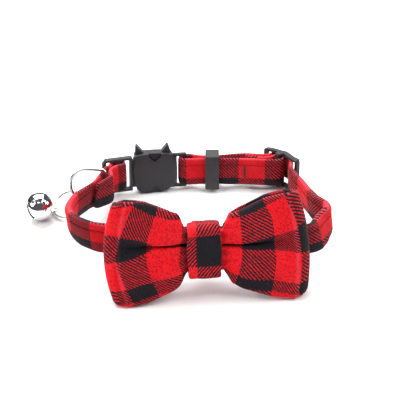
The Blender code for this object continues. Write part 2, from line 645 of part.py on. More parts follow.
def build_bell(mat):
    """The round bell: a thin shell with an eye and a cross of two slots."""
    a = (BELL_CENTRE - BELL_RING_CENTRE)
    a -= BELL_RING_NORMAL * a.dot(BELL_RING_NORMAL)
    eye = BELL_RING_CENTRE + a.normalized() * BELL_RING_RADIUS
    axis = (BELL_CENTRE - eye).normalized()
    radius = BELL_DIAMETER / 2
    shell = ball(BELL_CENTRE, radius, 16, 28, axis)
    hollow = ball(BELL_CENTRE, radius - BELL_WALL, 14, 24, axis)
    tangent = BELL_RING_NORMAL.cross(a).normalized()
    eye_path = circle(eye, tangent, EYE_RADIUS, 16)
    eyelet = tube(eye_path, EYE_WIRE / 2, 8, True, tangent)
    first = (BELL_SLOT_TOWARD - axis * BELL_SLOT_TOWARD.dot(axis)).normalized()
    cuts = [hollow]
    for along in (first, axis.cross(first)):
        cuts += slot_cuts(axis, along, axis.cross(along), radius)
    base = joined(shell, (eyelet,))
    return finish(joined(base, (), cuts), "bell", mat, True)


def build_pellet(mat):
    """The loose pellet, lying in the bottom of the bell."""
    drop = BELL_DIAMETER / 2 - BELL_WALL - PELLET_DIAMETER / 2 - 0.35
    centre = BELL_CENTRE - Vector((0, 0, drop))
    return finish(ball(centre, PELLET_DIAMETER / 2, 8, 10, Vector((0, 0, 1))), "bell_pellet", mat, True)


# half height of the bow: share of the half width, share of the half height
BOW_PROFILE = ((0, WAIST_SHARE), (0.185, WAIST_SHARE), (0.21, 0.5), (0.27, 0.68), (0.39, 0.78), (0.51, 0.86), (0.65, 0.95),
               (0.76, 0.98), (0.88, 1.0), (1.0, 0.98))
# the pleat: share of the half width, half width of the fold in millimetres, depth share
PLEAT = ((0, 0.3, 0.0), (0.17, 0.5, 0.3), (0.2, 0.8, 0.8), (0.5, 1.2, 1.0), (0.78, 3.2, 0.9), (0.88, 2.6, 0.0),
         (1.0, 2.6, 0.0))
BOW_ROWS = (-1.0, -0.75, -0.4, "fold low", 0.0, "fold high", 0.4, 0.75, 1.0)


def bow_point(x, y, z):
    """Bow millimetres (right, back, up) to world millimetres."""
    turn = Matrix.Rotation(math.radians(BOW_YAW_DEG), 3, "Z")
    turn = turn @ Matrix.Rotation(math.radians(-BOW_EXTRA_LEAN_DEG), 3, "X")
    turn = turn @ Matrix.Rotation(math.radians(-BOW_ROLL_DEG), 3, "Y")
    p = turn @ Vector((x, y, z))
    return lean_to_world(BOW_PLACE[0] + p.x, BOW_PLACE[1] + p.y, BOW_PLACE[2] + p.z)


def panel_offset(share):
    """Middle line of a panel off the bow's middle plane."""
    t = min(max((share - 0.2) / 0.24, 0.0), 1.0)
    return BOW_WAIST + (BOW_PUFF - BOW_WAIST) * t * t * (3 - 2 * t)


def bow_line():
    """The ribbon's plan loop: points (x, y) once round, and the share of the half width."""
    shares = (-0.96, -0.87, -0.78, -0.65, -0.5, -0.38, -0.28, -0.2, -0.165, -0.08,
              0.08, 0.165, 0.2, 0.28, 0.38, 0.5, 0.65, 0.78, 0.87, 0.96)
    reach = [BOW_RIGHT_WIDTH - BOW_PUFF if s > 0 else BOW_LEFT_WIDTH - BOW_PUFF for s in shares]
    front = [(s * r, -panel_offset(abs(s))) for s, r in zip(shares, reach)]
    turn = [math.radians(d) for d in (-75, -45, -15, 15, 45, 75)]
    right = [(reach[-1] + BOW_PUFF * math.cos(a), BOW_PUFF * math.sin(a)) for a in turn]
    back = [(x, -y) for x, y in front[::-1]]
    left = [(-reach[0] - BOW_PUFF * math.cos(a), -BOW_PUFF * math.sin(a)) for a in turn]
    return front + right + back + left


def build_bow(mat):
    """The bow: one closed ribbon, pleated along its middle and gathered at the knot."""
    line = bow_line()
    total = len(line)
    profile = np.array(BOW_PROFILE)
    pleat = np.array(PLEAT)
    rings = []
    for i in range(total):
        x, y = line[i]
        ahead = Vector(line[(i + 1) % total]) - Vector(line[i - 1])
        out = Vector((ahead.y, -ahead.x)).normalized()
        width = BOW_RIGHT_WIDTH if x > 0 else BOW_LEFT_WIDTH
        share = min(abs(x) / width, 1.0)
        trim = BACK_TRIM * min(max((y + BOW_PUFF) / (2 * BOW_PUFF), 0.0), 1.0) * min(1.0, share * 3)
        half = float(np.interp(share, profile[:, 0], profile[:, 1])) * BOW_HEIGHT / 2
        fold = float(np.interp(share, pleat[:, 0], pleat[:, 1]))
        depth = float(np.interp(share, pleat[:, 0], pleat[:, 2])) * PLEAT_DEPTH
        outer = []
        inner = []
        for row in BOW_ROWS:
            if row == "fold low":
                z = -fold
            elif row == "fold high":
                z = fold
            else:
                z = row * (half - (trim if row < 0 else 0.0))
            v = z / (BOW_HEIGHT / 2)
            dip = depth if row == 0.0 else 0.0
            rounding, slant = (0.077, -0.057) if x > 0 else (0.11, -0.012)
            px = x * (1 - (rounding * v * v - slant * v) * min(share * 2, 1.0))
            for side, run in ((1, outer), (-1, inner)):
                reach = side * BOW_WALL / 2
                run.append(bow_point(px + out.x * reach, y + out.y * reach - math.copysign(dip, y), z))
        rings.append(outer + inner[::-1])
    return finish(from_rings(rings, True), "bow_wings", mat, True)


def loop_round(half_depth, half_height, wall, half_width, place, name, mat, corner):
    """A flat strip closed round: outer half sizes, wall and half width."""
    def rounded(a, b, r):
        points = []
        for ca, cb, start in ((a - r, b - r, 0), (-a + r, b - r, 90), (-a + r, -b + r, 180), (a - r, -b + r, 270)):
            for step in (0, 30, 60, 90):
                t = math.radians(start + step)
                points.append((ca + r * math.cos(t), cb + r * math.sin(t)))
        return points

    outer = rounded(half_depth, half_height, corner)
    inner = rounded(half_depth - wall, half_height - wall, max(corner - wall, 0.15))
    rings = []
    for (oa, ob), (ia, ib) in zip(outer, inner):
        rings.append([place(-half_width, oa, ob), place(half_width, oa, ob), place(half_width, ia, ib),
                      place(-half_width, ia, ib)])
    return finish(from_rings(rings, True), name, mat, False)


def build_knot(mat):
    """The strip of cloth round the middle of the bow."""
    return loop_round(KNOT_DEPTH / 2, KNOT_HEIGHT / 2, KNOT_WALL, KNOT_WIDTH / 2, bow_point, "bow_knot", mat, 1.6)


def build_elastic(mat):
    """The elastic loop behind the knot that slides over the strap."""
    middle = (ELASTIC_FRONT[1] + ELASTIC_BACK[1]) / 2
    half_depth = (ELASTIC_BACK[1] - ELASTIC_FRONT[1]) / 2 + ELASTIC_WALL / 2

    def place(u, n, w):
        return lean_to_world(BOW_PLACE[0] + u, middle + n, (middle + n) * SKEW + w)

    return loop_round(half_depth, HALF_BAND + LAYER_GAP + 0.1 + ELASTIC_WALL, ELASTIC_WALL, ELASTIC_WIDTH / 2, place,
                      "bow_elastic", mat, 0.9)


def build_all():
    """Every piece of the collar."""
    cloth = material("plaid_flannel", (0.55, 0.02, 0.03), 0.0, 0.95)
    plastic = material("black_plastic", (0.04, 0.04, 0.045), 0.0, 0.5)
    steel = material("plated_steel", (0.6, 0.6, 0.62), 1.0, 0.25)
    elastic = material("black_elastic", (0.03, 0.03, 0.03), 0.0, 0.9)
    build_strap(cloth)
    build_head(plastic)
    build_insert(plastic)
    build_keeper(plastic)
    build_slider(plastic)
    build_d_ring(steel)
    build_bell_ring(steel)
    build_bell(steel)
    build_pellet(steel)
    build_bow(cloth)
    build_knot(cloth)
    build_elastic(elastic)


build_all()
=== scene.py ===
"""The plaid bow tie collar as it looks: flannel, moulded plastic, plated wire and a small round bell.

Shapes are worked out in millimetres and become metres when a piece is finished. The collar leans
back a little, so most points start in its own leaning frame: x to the right, y away from the
viewer along the collar's floor, w up along the strap's height.
"""
from __future__ import annotations

import json
import logging
import math
from dataclasses import dataclass
from enum import Enum
from typing import Callable, Sequence

import bmesh
import bpy
import numpy as np
from mathutils import Matrix, Vector, noise

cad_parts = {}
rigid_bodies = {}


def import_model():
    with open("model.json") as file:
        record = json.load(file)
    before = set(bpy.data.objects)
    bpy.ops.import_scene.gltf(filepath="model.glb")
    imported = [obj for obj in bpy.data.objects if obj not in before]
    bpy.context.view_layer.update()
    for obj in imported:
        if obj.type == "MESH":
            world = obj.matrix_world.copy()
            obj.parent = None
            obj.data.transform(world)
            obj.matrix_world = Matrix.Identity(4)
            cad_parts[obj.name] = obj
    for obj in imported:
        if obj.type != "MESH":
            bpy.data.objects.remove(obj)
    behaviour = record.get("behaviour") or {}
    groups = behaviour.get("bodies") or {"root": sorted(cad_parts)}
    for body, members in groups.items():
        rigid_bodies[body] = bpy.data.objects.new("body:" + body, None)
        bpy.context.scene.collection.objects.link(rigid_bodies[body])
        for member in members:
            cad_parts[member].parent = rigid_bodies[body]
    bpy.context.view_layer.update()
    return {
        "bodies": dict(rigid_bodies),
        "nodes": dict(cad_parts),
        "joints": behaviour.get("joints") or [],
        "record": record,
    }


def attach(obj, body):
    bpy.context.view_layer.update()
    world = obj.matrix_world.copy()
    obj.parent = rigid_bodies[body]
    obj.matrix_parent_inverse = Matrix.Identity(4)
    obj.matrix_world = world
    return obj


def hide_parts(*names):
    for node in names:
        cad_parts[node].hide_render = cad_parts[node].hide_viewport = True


LOG = logging.getLogger("collar")
METRES = 0.001
WEAVE_MAP = "weave"
PAINTED_LIGHT_LAYER = "painted_light_layer"
BODY = "root"

CLOTH_WELD = 0.004
WIRE_WELD = 0.002

Socket = bpy.types.NodeSocket
Place = Callable[[float, float], Vector]
Pattern = Callable[[float, float], tuple[float, float]]
PaintLight = Callable[[float, float], float]
RingRows = list[tuple[float, float, float]]


class Slant(Enum):
    """Which way a cloth's twill lines run."""

    DOWN_RIGHT = 1.0
    UP_RIGHT = -1.0


# stance


@dataclass(frozen=True)
class Stance:
    """How the whole collar stands on its floor."""

    lean: float = math.radians(14.0)
    height: float = 8.6
    skew: float = 0.13
    shift: tuple[float, float, float] = (8.89, 22.45, 0.04)

    def upright(self, x: float, y: float, w: float) -> Vector:
        """A leaning point in upright millimetres over the origin.

        Args:
            x: to the right.
            y: away from the viewer along the leaning floor.
            w: up, square to the leaning floor.

        Returns:
            The same point in the model's own directions, still in millimetres.
        """
        c = math.cos(self.lean)
        s = math.sin(self.lean)
        back = y * c + w * s
        up = self.height - y * s + w * c
        return Vector((x + self.shift[0], back + self.shift[1], up + self.shift[2]))

    def on_strap(self, x: float, y: float, w: float) -> Vector:
        """A point at height w on the strap, which climbs toward the back."""
        return self.upright(x, y, y * self.skew + w)


STANCE = Stance()


@dataclass(frozen=True)
class Plan:
    """The plan directions of one flat piece of hardware."""

    x: float
    y: float
    heading: float

    def plan(self, u: float, n: float) -> tuple[float, float]:
        """The plan point u along the piece and n outward.

        Args:
            u: millimetres along the piece.
            n: millimetres outward.

        Returns:
            Plan x and plan y.
        """
        c = math.cos(math.radians(self.heading))
        s = math.sin(math.radians(self.heading))
        return (self.x + u * c - n * s, self.y + u * s + n * c)

    def point(self, u: float, n: float, w: float) -> Vector:
        """The upright point u along, n outward and w up."""
        x, y = self.plan(u, n)
        return STANCE.on_strap(x, y, w)


# where the buckle's halves, the D-ring and the bow stand in the leaning plan, in millimetres
HEAD = Plan(-16.93, 8.39, 6.7)
INSERT = Plan(-30.67, 4.99, 17.3)
# the head's strap bar, along the head and outward
STRAP_BAR = (11.8, 0.15)
D_PLACE = (-34.2, -5.4)
RING_HALF_WIDTH = 44.15
BOW_PLACE = (1.2, -51.6, -5.65)


# mesh helpers


def along_table(table: Sequence[Sequence[float]], at: float, column: int = 1) -> float:
    """A column's value between the rows of a listed table, whose first column says where each holds."""
    rows = np.asarray(table)
    return float(np.interp(at, rows[:, 0], rows[:, column]))


def hump(at: float, middle: float, width: float, height: float) -> float:
    """A smooth rise round a middle place, of a width and a height."""
    return height * math.exp(-(((at - middle) / width) ** 2))


def weave_grid(columns: int, rows: int, place: Place, pattern: Pattern, paint_light: PaintLight) -> bmesh.types.BMesh:
    """A fine cloth surface, bent from a flat grid and welded where its edges meet.

    Args:
        columns: faces along the cloth.
        rows: faces across or round it.
        place: millimetre point for the shares 0 to 1 along and across.
        pattern: plaid coordinates for the same shares.
        paint_light: how much painted highlight there, 0 to 1, or down to -1 for painted shade where a seam
            lies.

    Returns:
        The cloth in millimetres, with its plaid coordinates on the weave map.
    """
    bm = bmesh.new()
    bmesh.ops.create_grid(bm, x_segments=columns, y_segments=rows, size=0.5)
    bm.verts.index_update()
    shares = [(min(max(v.co.x + 0.5, 0.0), 1.0), min(max(v.co.y + 0.5, 0.0), 1.0)) for v in bm.verts]
    woven = [pattern(a, b) for a, b in shares]
    layer = bm.loops.layers.uv.new(WEAVE_MAP)
    # per vertex: painted highlight on folded edges, painted shade at seams
    wear_and_painted_light = bm.verts.layers.float.new(PAINTED_LIGHT_LAYER)
    for face in bm.faces:
        face.smooth = True
        for loop in face.loops:
            loop[layer].uv = woven[loop.vert.index]
    for vert, (a, b) in zip(bm.verts, shares):
        vert.co = place(a, b)
        vert[wear_and_painted_light] = paint_light(a, b)
    bmesh.ops.remove_doubles(bm, verts=bm.verts[:], dist=CLOTH_WELD)
    return bm


def finished(
    bm: bmesh.types.BMesh, name: str, finish: bpy.types.Material, turn_out: bool = True
) -> bpy.types.Object:
    """One piece in metres, its object at the origin.

    Args:
        bm: the piece in millimetres over the origin.
        name: the piece's name.
        finish: its material.
        turn_out: whether the faces are turned outwards first.

    Returns:
        The new object, linked to the scene.
    """
    if turn_out:
        bmesh.ops.recalc_face_normals(bm, faces=bm.faces[:])
    bmesh.ops.scale(bm, vec=(METRES, METRES, METRES), verts=bm.verts[:])
    mesh = bpy.data.meshes.new(name)
    bm.to_mesh(mesh)
    bm.free()
    mesh.materials.append(finish)
    piece = bpy.data.objects.new(name, mesh)
    bpy.context.scene.collection.objects.link(piece)
    return piece


def stand_in(piece: bpy.types.Object, slot: str, *nodes: str) -> None:
    """Lets a finished piece take the place of its frame nodes.

    Args:
        piece: the finished piece.
        slot: not used.
        nodes: the frame nodes it replaces.
    """
    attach(piece, BODY)
    if nodes:
        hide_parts(*nodes)
    LOG.info("%s: %d faces", piece.name, len(piece.data.polygons))


def wire(bm: bmesh.types.BMesh, path: Sequence[Vector], radius: float, sides: int, up: Vector) -> None:
    """Bends a round tube along a closed path.

    Args:
        bm: the mesh that receives the tube.
        path: points once round, in millimetres.
        radius: the wire's radius.
        sides: faces round the wire.
        up: a direction that is never along the path.
    """
    total = len(path)
    grid = bmesh.new()
    bmesh.ops.create_grid(grid, x_segments=total, y_segments=sides, size=0.5)
    for vert in grid.verts:
        i = int(round((vert.co.x + 0.5) * total)) % total
        turn = 2 * math.pi * (vert.co.y + 0.5)
        ahead = (path[(i + 1) % total] - path[i - 1]).normalized()
        side = ahead.cross(up).normalized()
        vert.co = path[i] + (side * math.cos(turn) + side.cross(ahead) * math.sin(turn)) * radius
    bmesh.ops.remove_doubles(grid, verts=grid.verts[:], dist=WIRE_WELD)
    bmesh.ops.recalc_face_normals(grid, faces=grid.faces[:])
    for face in grid.faces:
        face.smooth = True
    lump = bpy.data.meshes.new("wire")
    grid.to_mesh(lump)
    grid.free()
    bm.from_mesh(lump)
    bpy.data.meshes.remove(lump)


# finishes


class Board:
    """A material's node tree, with short ways to add and join nodes."""

    def __init__(self, name: str) -> None:
        """Starts a material with its Principled shader.

        Args:
            name: the material's name.
        """
        self.material = bpy.data.materials.new(name)
        self.material.use_nodes = True
        self.tree = self.material.node_tree
        self.shader = self.tree.nodes["Principled BSDF"]

    def add(self, kind: str, **settings: object) -> bpy.types.Node:
        """A new node with its own settings.

        Args:
            kind: the node's type.
            settings: its attributes.

        Returns:
            The node.
        """
        node = self.tree.nodes.new(kind)
        for key, value in settings.items():
            setattr(node, key, value)
        return node

    def join(self, source: Socket, target: Socket) -> None:
        """Links one socket to another."""
        self.tree.links.new(source, target)

    def sum(self, operation: str, *terms: object) -> Socket:
        """A Math node on sockets and plain numbers.

        Args:
            operation: the Math node's operation.
            terms: up to three sockets or numbers.

        Returns:
            The result's socket.
        """
        node = self.add("ShaderNodeMath", operation=operation)
        for slot, term in enumerate(terms):
            if isinstance(term, (int, float)):
                node.inputs[slot].default_value = term
            else:
                self.join(term, node.inputs[slot])
        return node.outputs[0]

    def speckle(self, where: Socket, scale: float, detail: float = 2.0) -> Socket:
        """Noise around one half, at a scale per metre or per plaid square.

        Args:
            where: the coordinates.
            scale: the noise's scale.
            detail: its detail.

        Returns:
            The noise's socket.
        """
        node = self.add("ShaderNodeTexNoise")
        node.inputs["Scale"].default_value = scale
        node.inputs["Detail"].default_value = detail
        self.join(where, node.inputs["Vector"])
        return node.outputs["Fac"]

    def blend(self, share: object, first: object, second: object) -> Socket:
        """Two colours mixed by a share.

        Args:
            share: socket or number, 0 gives the first colour.
            first: socket or colour.
            second: socket or colour.

        Returns:
            The mixed colour's socket.
        """
        node = self.add("ShaderNodeMix", data_type="RGBA")
        for slot, term in ((0, share), (6, first), (7, second)):
            if isinstance(term, (int, float)):
                node.inputs[slot].default_value = term
            elif isinstance(term, tuple):
                node.inputs[slot].default_value = (*term, 1.0)
            else:
                self.join(term, node.inputs[slot])
        return node.outputs[2]

    def range(self, value: Socket, low: float, high: float, to: tuple[float, float]) -> Socket:
        """A value mapped from low to high onto another range, held at its ends.

        Args:
            value: the value's socket.
            low: where the range starts.
            high: where it ends.
            to: what the two ends become.

        Returns:
            The mapped value's socket.
        """
        node = self.add("ShaderNodeMapRange")
        node.inputs["From Min"].default_value = low
        node.inputs["From Max"].default_value = high
        node.inputs["To Min"].default_value = to[0]
        node.inputs["To Max"].default_value = to[1]
        self.join(value, node.inputs["Value"])
        return node.outputs["Result"]

    def bump(self, height: Socket, strength: float, depth: float) -> None:
        """Roughens the shader's surface by a height in metres.

        Args:
            height: the height's socket, 0 to 1.
            strength: the bump's strength.
            depth: the metres that a height of 1 stands for.
        """
        node = self.add("ShaderNodeBump")
        node.inputs["Strength"].default_value = strength
        node.inputs["Distance"].default_value = depth
        self.join(height, node.inputs["Height"])
        self.join(node.outputs["Normal"], self.shader.inputs["Normal"])

    def fixed(self, **values: float) -> None:
        """Sets the shader's uniform values, with spaces in their names written as underscores."""
        for key, value in values.items():
            self.shader.inputs[key.replace("_", " ")].default_value = value


@dataclass(frozen=True)
class PlaidFlannel:
    """Brushed flannel in a two colour plaid, woven as a twill.

    The weave map counts plaid squares: odd columns and odd rows are black.
    """

    name: str
    slant: Slant = Slant.DOWN_RIGHT
    lines_per_square: float = 8.2
    red: tuple[float, float, float] = (0.82, 0.009, 0.016)
    deep_red: tuple[float, float, float] = (0.46, 0.004, 0.009)
    nap_red: tuple[float, float, float] = (0.86, 0.045, 0.06)
    black: tuple[float, float, float] = (0.0085, 0.0085, 0.011)
    nap_black: tuple[float, float, float] = (0.024, 0.023, 0.03)
    # painted shade for the seam, then painted highlight for the folded edges, in red and in black
    seam_shade_red: tuple[float, float, float] = (0.05, 0.004, 0.006)
    highlight_red: tuple[float, float, float] = (0.8, 0.11, 0.15)
    highlight_black: tuple[float, float, float] = (0.1, 0.03, 0.045)

    def build(self) -> bpy.types.Material:
        """The flannel's material.

        Returns:
            The finished material.
        """
        board = Board(self.name)
        weave = board.add("ShaderNodeUVMap", uv_map=WEAVE_MAP).outputs["UV"]
        around = board.add("ShaderNodeTexCoord").outputs["Object"]
        wander = board.add("ShaderNodeTexNoise")
        wander.inputs["Scale"].default_value = 2600.0
        wander.inputs["Detail"].default_value = 2.0
        board.join(around, wander.inputs["Vector"])
        split = board.add("ShaderNodeSeparateXYZ")
        board.join(weave, split.inputs[0])
        drift = board.add("ShaderNodeSeparateColor")
        board.join(wander.outputs["Color"], drift.inputs[0])
        u = board.sum("ADD", split.outputs["X"], board.range(drift.outputs[0], 0.25, 0.75, (-0.016, 0.016)))
        v = board.sum("ADD", split.outputs["Y"], board.range(drift.outputs[1], 0.25, 0.75, (-0.016, 0.016)))
        warp = self._dark_half(board, u)
        weft = self._dark_half(board, v)
        both = board.sum("MULTIPLY", warp, weft)
        either = board.sum("MAXIMUM", warp, weft)
        mixed = board.sum("SUBTRACT", either, both)
        across = board.sum("MULTIPLY_ADD", v, self.slant.value, u)
        phase = board.sum("MULTIPLY", across, self.lines_per_square)
        wave = board.sum("PINGPONG", phase, 0.5)
        line = board.range(wave, 0.14, 0.19, (0.0, 1.0))
        dark = board.sum("MULTIPLY_ADD", mixed, line, both)
        pile = board.speckle(around, 1600.0, 3.0)
        fine = board.speckle(around, 5200.0, 2.0)
        faded = board.speckle(around, 160.0, 2.0)
        red = board.blend(board.range(pile, 0.36, 0.54, (0.0, 1.0)), self.deep_red, self.red)
        rib = board.range(wave, 0.05, 0.45, (0.16, 0.0))
        red = board.blend(rib, red, self.deep_red)
        red = board.blend(board.range(fine, 0.56, 0.8, (0.0, 0.55)), red, self.nap_red)
        red = board.blend(board.range(faded, 0.4, 0.7, (0.0, 0.2)), red, self.nap_red)
        black = board.blend(board.range(fine, 0.45, 0.75, (0.0, 1.0)), self.black, self.nap_black)
        stray = board.range(pile, 0.62, 0.8, (0.0, 0.3))
        black = board.blend(stray, black, self.deep_red)
        # painted shade at the seam and painted highlight on the folded edges, read from the mesh's layer
        edge = board.add("ShaderNodeAttribute", attribute_name=PAINTED_LIGHT_LAYER).outputs["Fac"]
        fuzzy = board.range(fine, 0.4, 0.6, (0.15, 0.75))
        painted_edge_highlight = board.sum("MULTIPLY", board.sum("MAXIMUM", edge, 0.0), fuzzy)
        red = board.blend(board.range(edge, -0.75, -0.1, (0.85, 0.0)), red, self.seam_shade_red)
        red = board.blend(painted_edge_highlight, red, self.highlight_red)
        black = board.blend(painted_edge_highlight, black, self.highlight_black)
        board.join(board.blend(dark, red, black), board.shader.inputs["Base Color"])
        height = board.sum("MULTIPLY_ADD", wave, 0.8, board.sum("MULTIPLY", pile, 0.9))
        height = board.sum("MULTIPLY_ADD", fine, 0.5, height)
        board.bump(height, 0.55, 0.00022)
        board.join(board.range(pile, 0.3, 0.7, (0.86, 0.98)), board.shader.inputs["Roughness"])
        board.fixed(Specular_IOR_Level=0.12, Sheen_Weight=0.1, Sheen_Roughness=0.4)
        board.shader.inputs["Sheen Tint"].default_value = (1.0, 0.5, 0.5, 1.0)
        return board.material

    def _dark_half(self, board: Board, squares: Socket) -> Socket:
        """One on the odd squares and zero on the even ones."""
        return board.sum("GREATER_THAN", board.sum("FRACT", board.sum("MULTIPLY", squares, 0.5)), 0.5)


@dataclass(frozen=True)
class WovenElastic:
    """Black ribbed elastic."""

    name: str
    colour: tuple[float, float, float] = (0.016, 0.016, 0.018)
    lit: tuple[float, float, float] = (0.06, 0.06, 0.065)

    def build(self) -> bpy.types.Material:
        """The elastic's material.

        Returns:
            The finished material.
        """
        board = Board(self.name)
        weave = board.add("ShaderNodeUVMap", uv_map=WEAVE_MAP).outputs["UV"]
        split = board.add("ShaderNodeSeparateXYZ")
        board.join(weave, split.inputs[0])
        rib = board.sum("PINGPONG", board.sum("MULTIPLY", split.outputs["Y"], 14.0), 0.5)
        pick = board.sum("PINGPONG", board.sum("MULTIPLY", split.outputs["X"], 11.0), 0.5)
        both = board.sum("MULTIPLY_ADD", pick, 0.7, rib)
        around = board.add("ShaderNodeTexCoord").outputs["Object"]
        fuzz = board.speckle(around, 3500.0)
        tone = board.sum("MULTIPLY_ADD", fuzz, 0.5, board.sum("MULTIPLY", both, 0.6))
        board.join(board.blend(tone, self.colour, self.lit), board.shader.inputs["Base Color"])
        board.bump(board.sum("MULTIPLY_ADD", fuzz, 0.3, both), 0.7, 0.00025)
        board.join(board.range(fuzz, 0.3, 0.7, (0.7, 0.9)), board.shader.inputs["Roughness"])
        board.fixed(Specular_IOR_Level=0.3)
        return board.material


@dataclass(frozen=True)
class MouldedPlastic:
    """Matte moulded plastic with a fine eroded skin and worn patches."""

    name: str
    colour: tuple[float, float, float] = (0.019, 0.0195, 0.0225)
    wear_and_painted_light: tuple[float, float, float] = (0.034, 0.035, 0.039)
    roughness: tuple[float, float] = (0.4, 0.56)

    def build(self) -> bpy.types.Material:
        """The plastic's material.

        Returns:
            The finished material.
        """
        board = Board(self.name)
        around = board.add("ShaderNodeTexCoord").outputs["Object"]
        skin = board.speckle(around, 6500.0, 3.0)
        cloud = board.speckle(around, 260.0, 3.0)
        scuff = board.speckle(around, 1400.0, 4.0)
        tone = board.blend(board.range(cloud, 0.35, 0.7, (0.0, 0.5)), self.colour, self.wear_and_painted_light)
        tone = board.blend(board.range(scuff, 0.6, 0.78, (0.0, 0.5)), tone, self.wear_and_painted_light)
        board.join(self.shaded(board, around, tone), board.shader.inputs["Base Color"])
        board.join(board.range(cloud, 0.3, 0.7, self.roughness), board.shader.inputs["Roughness"])
        board.bump(skin, 0.22, 0.00006)
        board.fixed(Specular_IOR_Level=0.45)
        return board.material

    def shaded(self, board: Board, around: Socket, tone: Socket) -> Socket:
        """The plain plastic has no painted shade."""
        return tone


@dataclass(frozen=True)
class HeadPlastic(MouldedPlastic):
    """The head's plastic, with painted shade in the brow's and the chin's recesses."""

    colour: tuple[float, float, float] = (0.0148, 0.0156, 0.0188)
    wear_and_painted_light: tuple[float, float, float] = (0.026, 0.0272, 0.0318)
    half_height: float = 7.6
    face: float = -2.3
    depth: float = 0.7
    brow: tuple[float, float, float] = (-2.6, 2.3, 3.3)
    chin: tuple[float, float, float] = (-1.9, 2.3, 2.9)
    slack: tuple[float, float] = (0.12, 0.08)
    # the colour of the painted shade in the recesses
    painted_recess_shade: tuple[float, float, float] = (0.003, 0.003, 0.0035)

    def shaded(self, board: Board, around: Socket, tone: Socket) -> Socket:
        """Paints shade into the recesses, found in the head's own directions.

        Args:
            board: the material's board.
            around: the object coordinates in metres.
            tone: the plastic's colour.

        Returns:
            The colour with painted shade in its recesses.
        """
        start = HEAD.point(0.0, 0.0, 0.0)
        steps = [HEAD.point(*unit) - start for unit in ((1.0, 0.0, 0.0), (0.0, 1.0, 0.0), (0.0, 0.0, 1.0))]
        own = Matrix(steps).transposed().inverted()
        along, deep, high = (self._measure(board, around, own[k], own[k].dot(start)) for k in range(3))
        behind = board.sum("GREATER_THAN", deep, self.face + self.slack[0])
        before = board.sum("LESS_THAN", deep, self.face + self.depth + self.slack[1])
        sunk = board.sum("MULTIPLY", behind, before)
        places = []
        for (left, right, reach), sign in ((self.brow, 1.0), (self.chin, -1.0)):
            inside = board.sum("LESS_THAN", along, right)
            across = board.sum("MULTIPLY", board.sum("GREATER_THAN", along, left), inside)
            level = board.sum("GREATER_THAN", board.sum("MULTIPLY", high, sign), self.half_height - reach)
            places.append(board.sum("MULTIPLY", across, level))
        # painted shade where the face is sunk at the brow and the chin
        recess_shade_mask = board.sum("MULTIPLY", sunk, board.sum("MAXIMUM", places[0], places[1]))
        return board.blend(recess_shade_mask, tone, self.painted_recess_shade)

    def _measure(self, board: Board, around: Socket, row: Vector, start: float) -> Socket:
        """Millimetres along one of the head's own directions.

        Args:
            board: the material's board.
            around: the object coordinates in metres.
            row: the direction, as a row of the head's own axes.
            start: the head's middle along it.

        Returns:
            The distance's socket.
        """
        dot = board.add("ShaderNodeVectorMath", operation="DOT_PRODUCT")
        board.join(around, dot.inputs[0])
        dot.inputs[1].default_value = row / METRES
        return board.sum("SUBTRACT", dot.outputs["Value"], start)


@dataclass(frozen=True)
class PlatedMetal:
    """Bright plate with faint haze and hairline wear."""

    name: str
    colour: tuple[float, float, float] = (0.5, 0.5, 0.52)
    dull: tuple[float, float, float] = (0.3, 0.3, 0.32)
    roughness: tuple[float, float] = (0.12, 0.24)

    def build(self) -> bpy.types.Material:
        """The plate's material.

        Returns:
            The finished material.
        """
        board = Board(self.name)
        around = board.add("ShaderNodeTexCoord").outputs["Object"]
        haze = board.speckle(around, 420.0, 4.0)
        stretch = board.add("ShaderNodeMapping")
        stretch.inputs["Scale"].default_value = (1.0, 9.0, 3.0)
        stretch.inputs["Rotation"].default_value = (0.4, 0.9, 0.3)
        board.join(around, stretch.inputs["Vector"])
        hair = board.speckle(stretch.outputs[0], 900.0, 2.0)
        tone = board.blend(board.range(haze, 0.45, 0.75, (0.0, 0.6)), self.colour, self.dull)
        board.join(tone, board.shader.inputs["Base Color"])
        worn = board.sum("MULTIPLY_ADD", hair, 0.4, board.sum("MULTIPLY", haze, 0.6))
        board.join(board.range(worn, 0.35, 0.7, self.roughness), board.shader.inputs["Roughness"])
        board.bump(hair, 0.05, 0.00003)
        board.fixed(Metallic=1.0)
        return board.material


@dataclass(frozen=True)
class SewingThread:
    """Twisted thread of the bar tack."""

    name: str
    colour: tuple[float, float, float] = (0.006, 0.003, 0.005)
    lit: tuple[float, float, float] = (0.022, 0.012, 0.016)

    def build(self) -> bpy.types.Material:
        """The thread's material.

        Returns:
            The finished material.
        """
        board = Board(self.name)
        around = board.add("ShaderNodeTexCoord").outputs["Object"]
        turn = board.add("ShaderNodeTexWave", bands_direction="DIAGONAL")
        turn.inputs["Scale"].default_value = 900.0
        turn.inputs["Distortion"].default_value = 0.6
        board.join(around, turn.inputs["Vector"])
        board.join(board.blend(turn.outputs["Fac"], self.colour, self.lit), board.shader.inputs["Base Color"])
        board.bump(turn.outputs["Fac"], 0.5, 0.00006)
        board.fixed(Roughness=0.6)
        return board.material


@dataclass(frozen=True)
class PaleTable:
    """The studio's white table."""

    name: str
    colour: tuple[float, float, float] = (0.92, 0.92, 0.92)
    worn: tuple[float, float, float] = (0.88, 0.88, 0.885)

    def build(self) -> bpy.types.Material:
        """The table's material.

        Returns:
            The finished material.
        """
        board = Board(self.name)
        around = board.add("ShaderNodeTexCoord").outputs["Object"]
        grain = board.speckle(around, 30.0, 3.0)
        tone = board.blend(board.range(grain, 0.3, 0.7, (0.0, 0.06)), self.colour, self.worn)
        board.join(tone, board.shader.inputs["Base Color"])
        board.fixed(Roughness=0.6, Specular_IOR_Level=0.3)
        return board.material


# the strap's route


